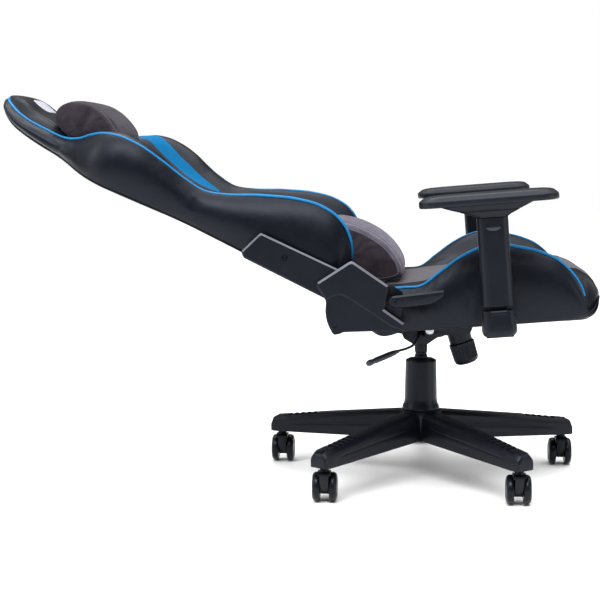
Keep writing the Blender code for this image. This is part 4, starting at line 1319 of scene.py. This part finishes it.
def make_bracket_cover(side, sign):
    inner, outer = side_span(f"back_bracket_cover_{side}")
    shell = plate(f"bracket_shell_{side}", BRACKET_OUTLINE, BRACKET_CORNERS, sign, inner, outer, 0.0036, 0.7)
    item = show(shell, BACK)
    spot = Vector((0.016, sign * outer, 0.1655))
    well = cylinder(f"well_tool_{side}", 0.0062, -0.0032, 0.01, BACK @ facing(spot, (0, sign, 0)))
    combine(item, [well], "DIFFERENCE")
    soften(item, 0, sharp=24)
    paint_rim_highlight(item, sign)
    dress(item, "plastic", "back", [f"back_bracket_cover_{side}"])
    sunk = BACK @ (spot - Vector((0, sign * 0.0033, 0)))
    add_screw(f"bracket_screw_{side}", sunk, (0, sign, 0), 0.005, "back")


def make_recline_lever():
    inner, outer = 0.279, side_span("recline_lever")[1]
    item = show(plate("recline_handle", LEVER_OUTLINE, LEVER_CORNERS, -1, inner, outer, 0.003, 1.1), SEAT)
    x, z = LEVER_PIVOT
    pivot = facing((x, -inner, z), (0, -1, 0))
    combine(item, [cylinder("pin_tool", 0.005, -0.0112, 0.004, SEAT @ pivot)], "UNION")
    soften(item, 0.0005, 2, 28, 30)
    dress(item, "plastic", "recline_lever", ["recline_lever"])
    head = SEAT @ Vector((x, -outer + 0.0002, z))
    add_screw("handle_screw", head, (0, -1, 0), 0.0046, "recline_lever")


# Armrests: heights and half sizes in the seat's frame, about each post's middle

POST_X, POST_Y = 0.1325, 0.33
POST_HALF = (0.03, 0.019)
SOCKET = (  # height, and how far each side stands out from the post
    (0.015, -0.0085, -0.0085), (0.0156, -0.005, -0.005), (0.0172, -0.0015, -0.0015),
    (0.02, 0.0014, 0.0012), (0.0245, 0.0032, 0.0028), (0.03, 0.0036, 0.0032),
    (0.045, 0.0026, 0.0022), (0.059, 0.0014, 0.0012), (0.0596, 0.0008, 0.0006),
    (0.0606, 0.0008, 0.0006), (0.0612, 0.0013, 0.0011), (0.0655, 0.001, 0.0008),
    (0.067, -0.0004, -0.0006),
)
SLEEVE = ((0.0745, -0.001, -0.001), (0.0753, 0, 0), (0.16, 0, 0), (0.2442, 0, 0),
          (0.245, -0.001, -0.001))
MOUNT = (  # height, half x, half y, middle x
    (0.2452, 0.0296, 0.0186, 0.0), (0.2458, 0.0304, 0.0194, 0.0), (0.249, 0.035, 0.0214, -0.0005),
    (0.253, 0.044, 0.0236, -0.002), (0.2576, 0.056, 0.0256, -0.004), (0.258, 0.0552, 0.0248, -0.004),
    (0.2588, 0.0568, 0.025, -0.0042), (0.2592, 0.059, 0.0262, -0.0045),
    (0.264, 0.072, 0.029, -0.007), (0.27, 0.0868, 0.032, -0.009), (0.2707, 0.0864, 0.0316, -0.009),
)
PAD = (
    (0.271, 0.1285, 0.0448, -0.005), (0.2714, 0.13, 0.0462, -0.005), (0.2724, 0.1312, 0.0474, -0.005),
    (0.2745, 0.1319, 0.048, -0.005), (0.28, 0.1318, 0.048, -0.005), (0.2828, 0.1314, 0.0478, -0.005),
    (0.284, 0.1302, 0.047, -0.005), (0.2892, 0.124, 0.0436, -0.0045),
    (0.2908, 0.1215, 0.042, -0.004), (0.2922, 0.117, 0.0384, -0.0035), (0.2936, 0.106, 0.03, -0.003),
    (0.2942, 0.085, 0.019, -0.002), (0.2945, 0.06, 0.008, -0.002),
)


def about_post(layers):
    half_x, half_y = POST_HALF
    return [(z, half_x + out_x, half_y + out_y, 0) for z, out_x, out_y in layers]


def half_moon(grow):
    """The (x, z) outline of the height button: flat above and round below."""
    top, reach, drop = 0.2275 + grow, 0.014 + grow, 0.008 + 2 * grow
    return [(reach * cos(angle), top - drop * sin(angle)) for angle in shares(20, 0, pi)]


def make_armrests():
    face = POST_HALF[1]
    for side, sign in SIDES.items():
        post = SEAT @ Matrix.Translation((POST_X, sign * POST_Y, 0))
        recess = prism("recess_tool", half_moon(0.0006), *sorted((sign * (face - 0.0068), sign * 2 * face)))
        core = box("core_tool", (-0.0165, -0.0075, 0.0), (0.0165, 0.0075, 0.2))
        for part, layers, corner, look, node, body, hollows in (
            ("socket", about_post(SOCKET), 0.0178, "plastic", "arm_socket", "seat", [core.copy()]),
            ("sleeve", about_post(SLEEVE), 0.0178, "plastic", "arm_sleeve", "arm_sleeve", [core, recess]),
            ("mount", MOUNT, 0.014, "plastic", "arm_pad_mount", "arm_mount", []),
            ("pad", PAD, 0.034, "pad", "arm_pad", "arm_pad", []),
        ):
            item = show(standing(f"armrest_{part}_{side}", layers, corner), post)
            for hollow in hollows:
                combine(item, [show(hollow, post)], "DIFFERENCE")
            body = body if body == "seat" else f"{body}_{side}"
            dress(smooth(item, 40), look, body, [f"{node}_{side}"])
        name = f"armrest_button_{side}"
        button = plate(name, half_moon(0.0), 0, sign, face - 0.0025, face + 0.0015, 0.0012)
        item = soften(show(button, post), 0.0003, 2)
        dress(item, "grip", f"arm_button_{side}", [f"arm_button_{side}"])


make_base()
make_casters()
make_column()
make_mechanism()
make_hinge_covers()
make_armrests()
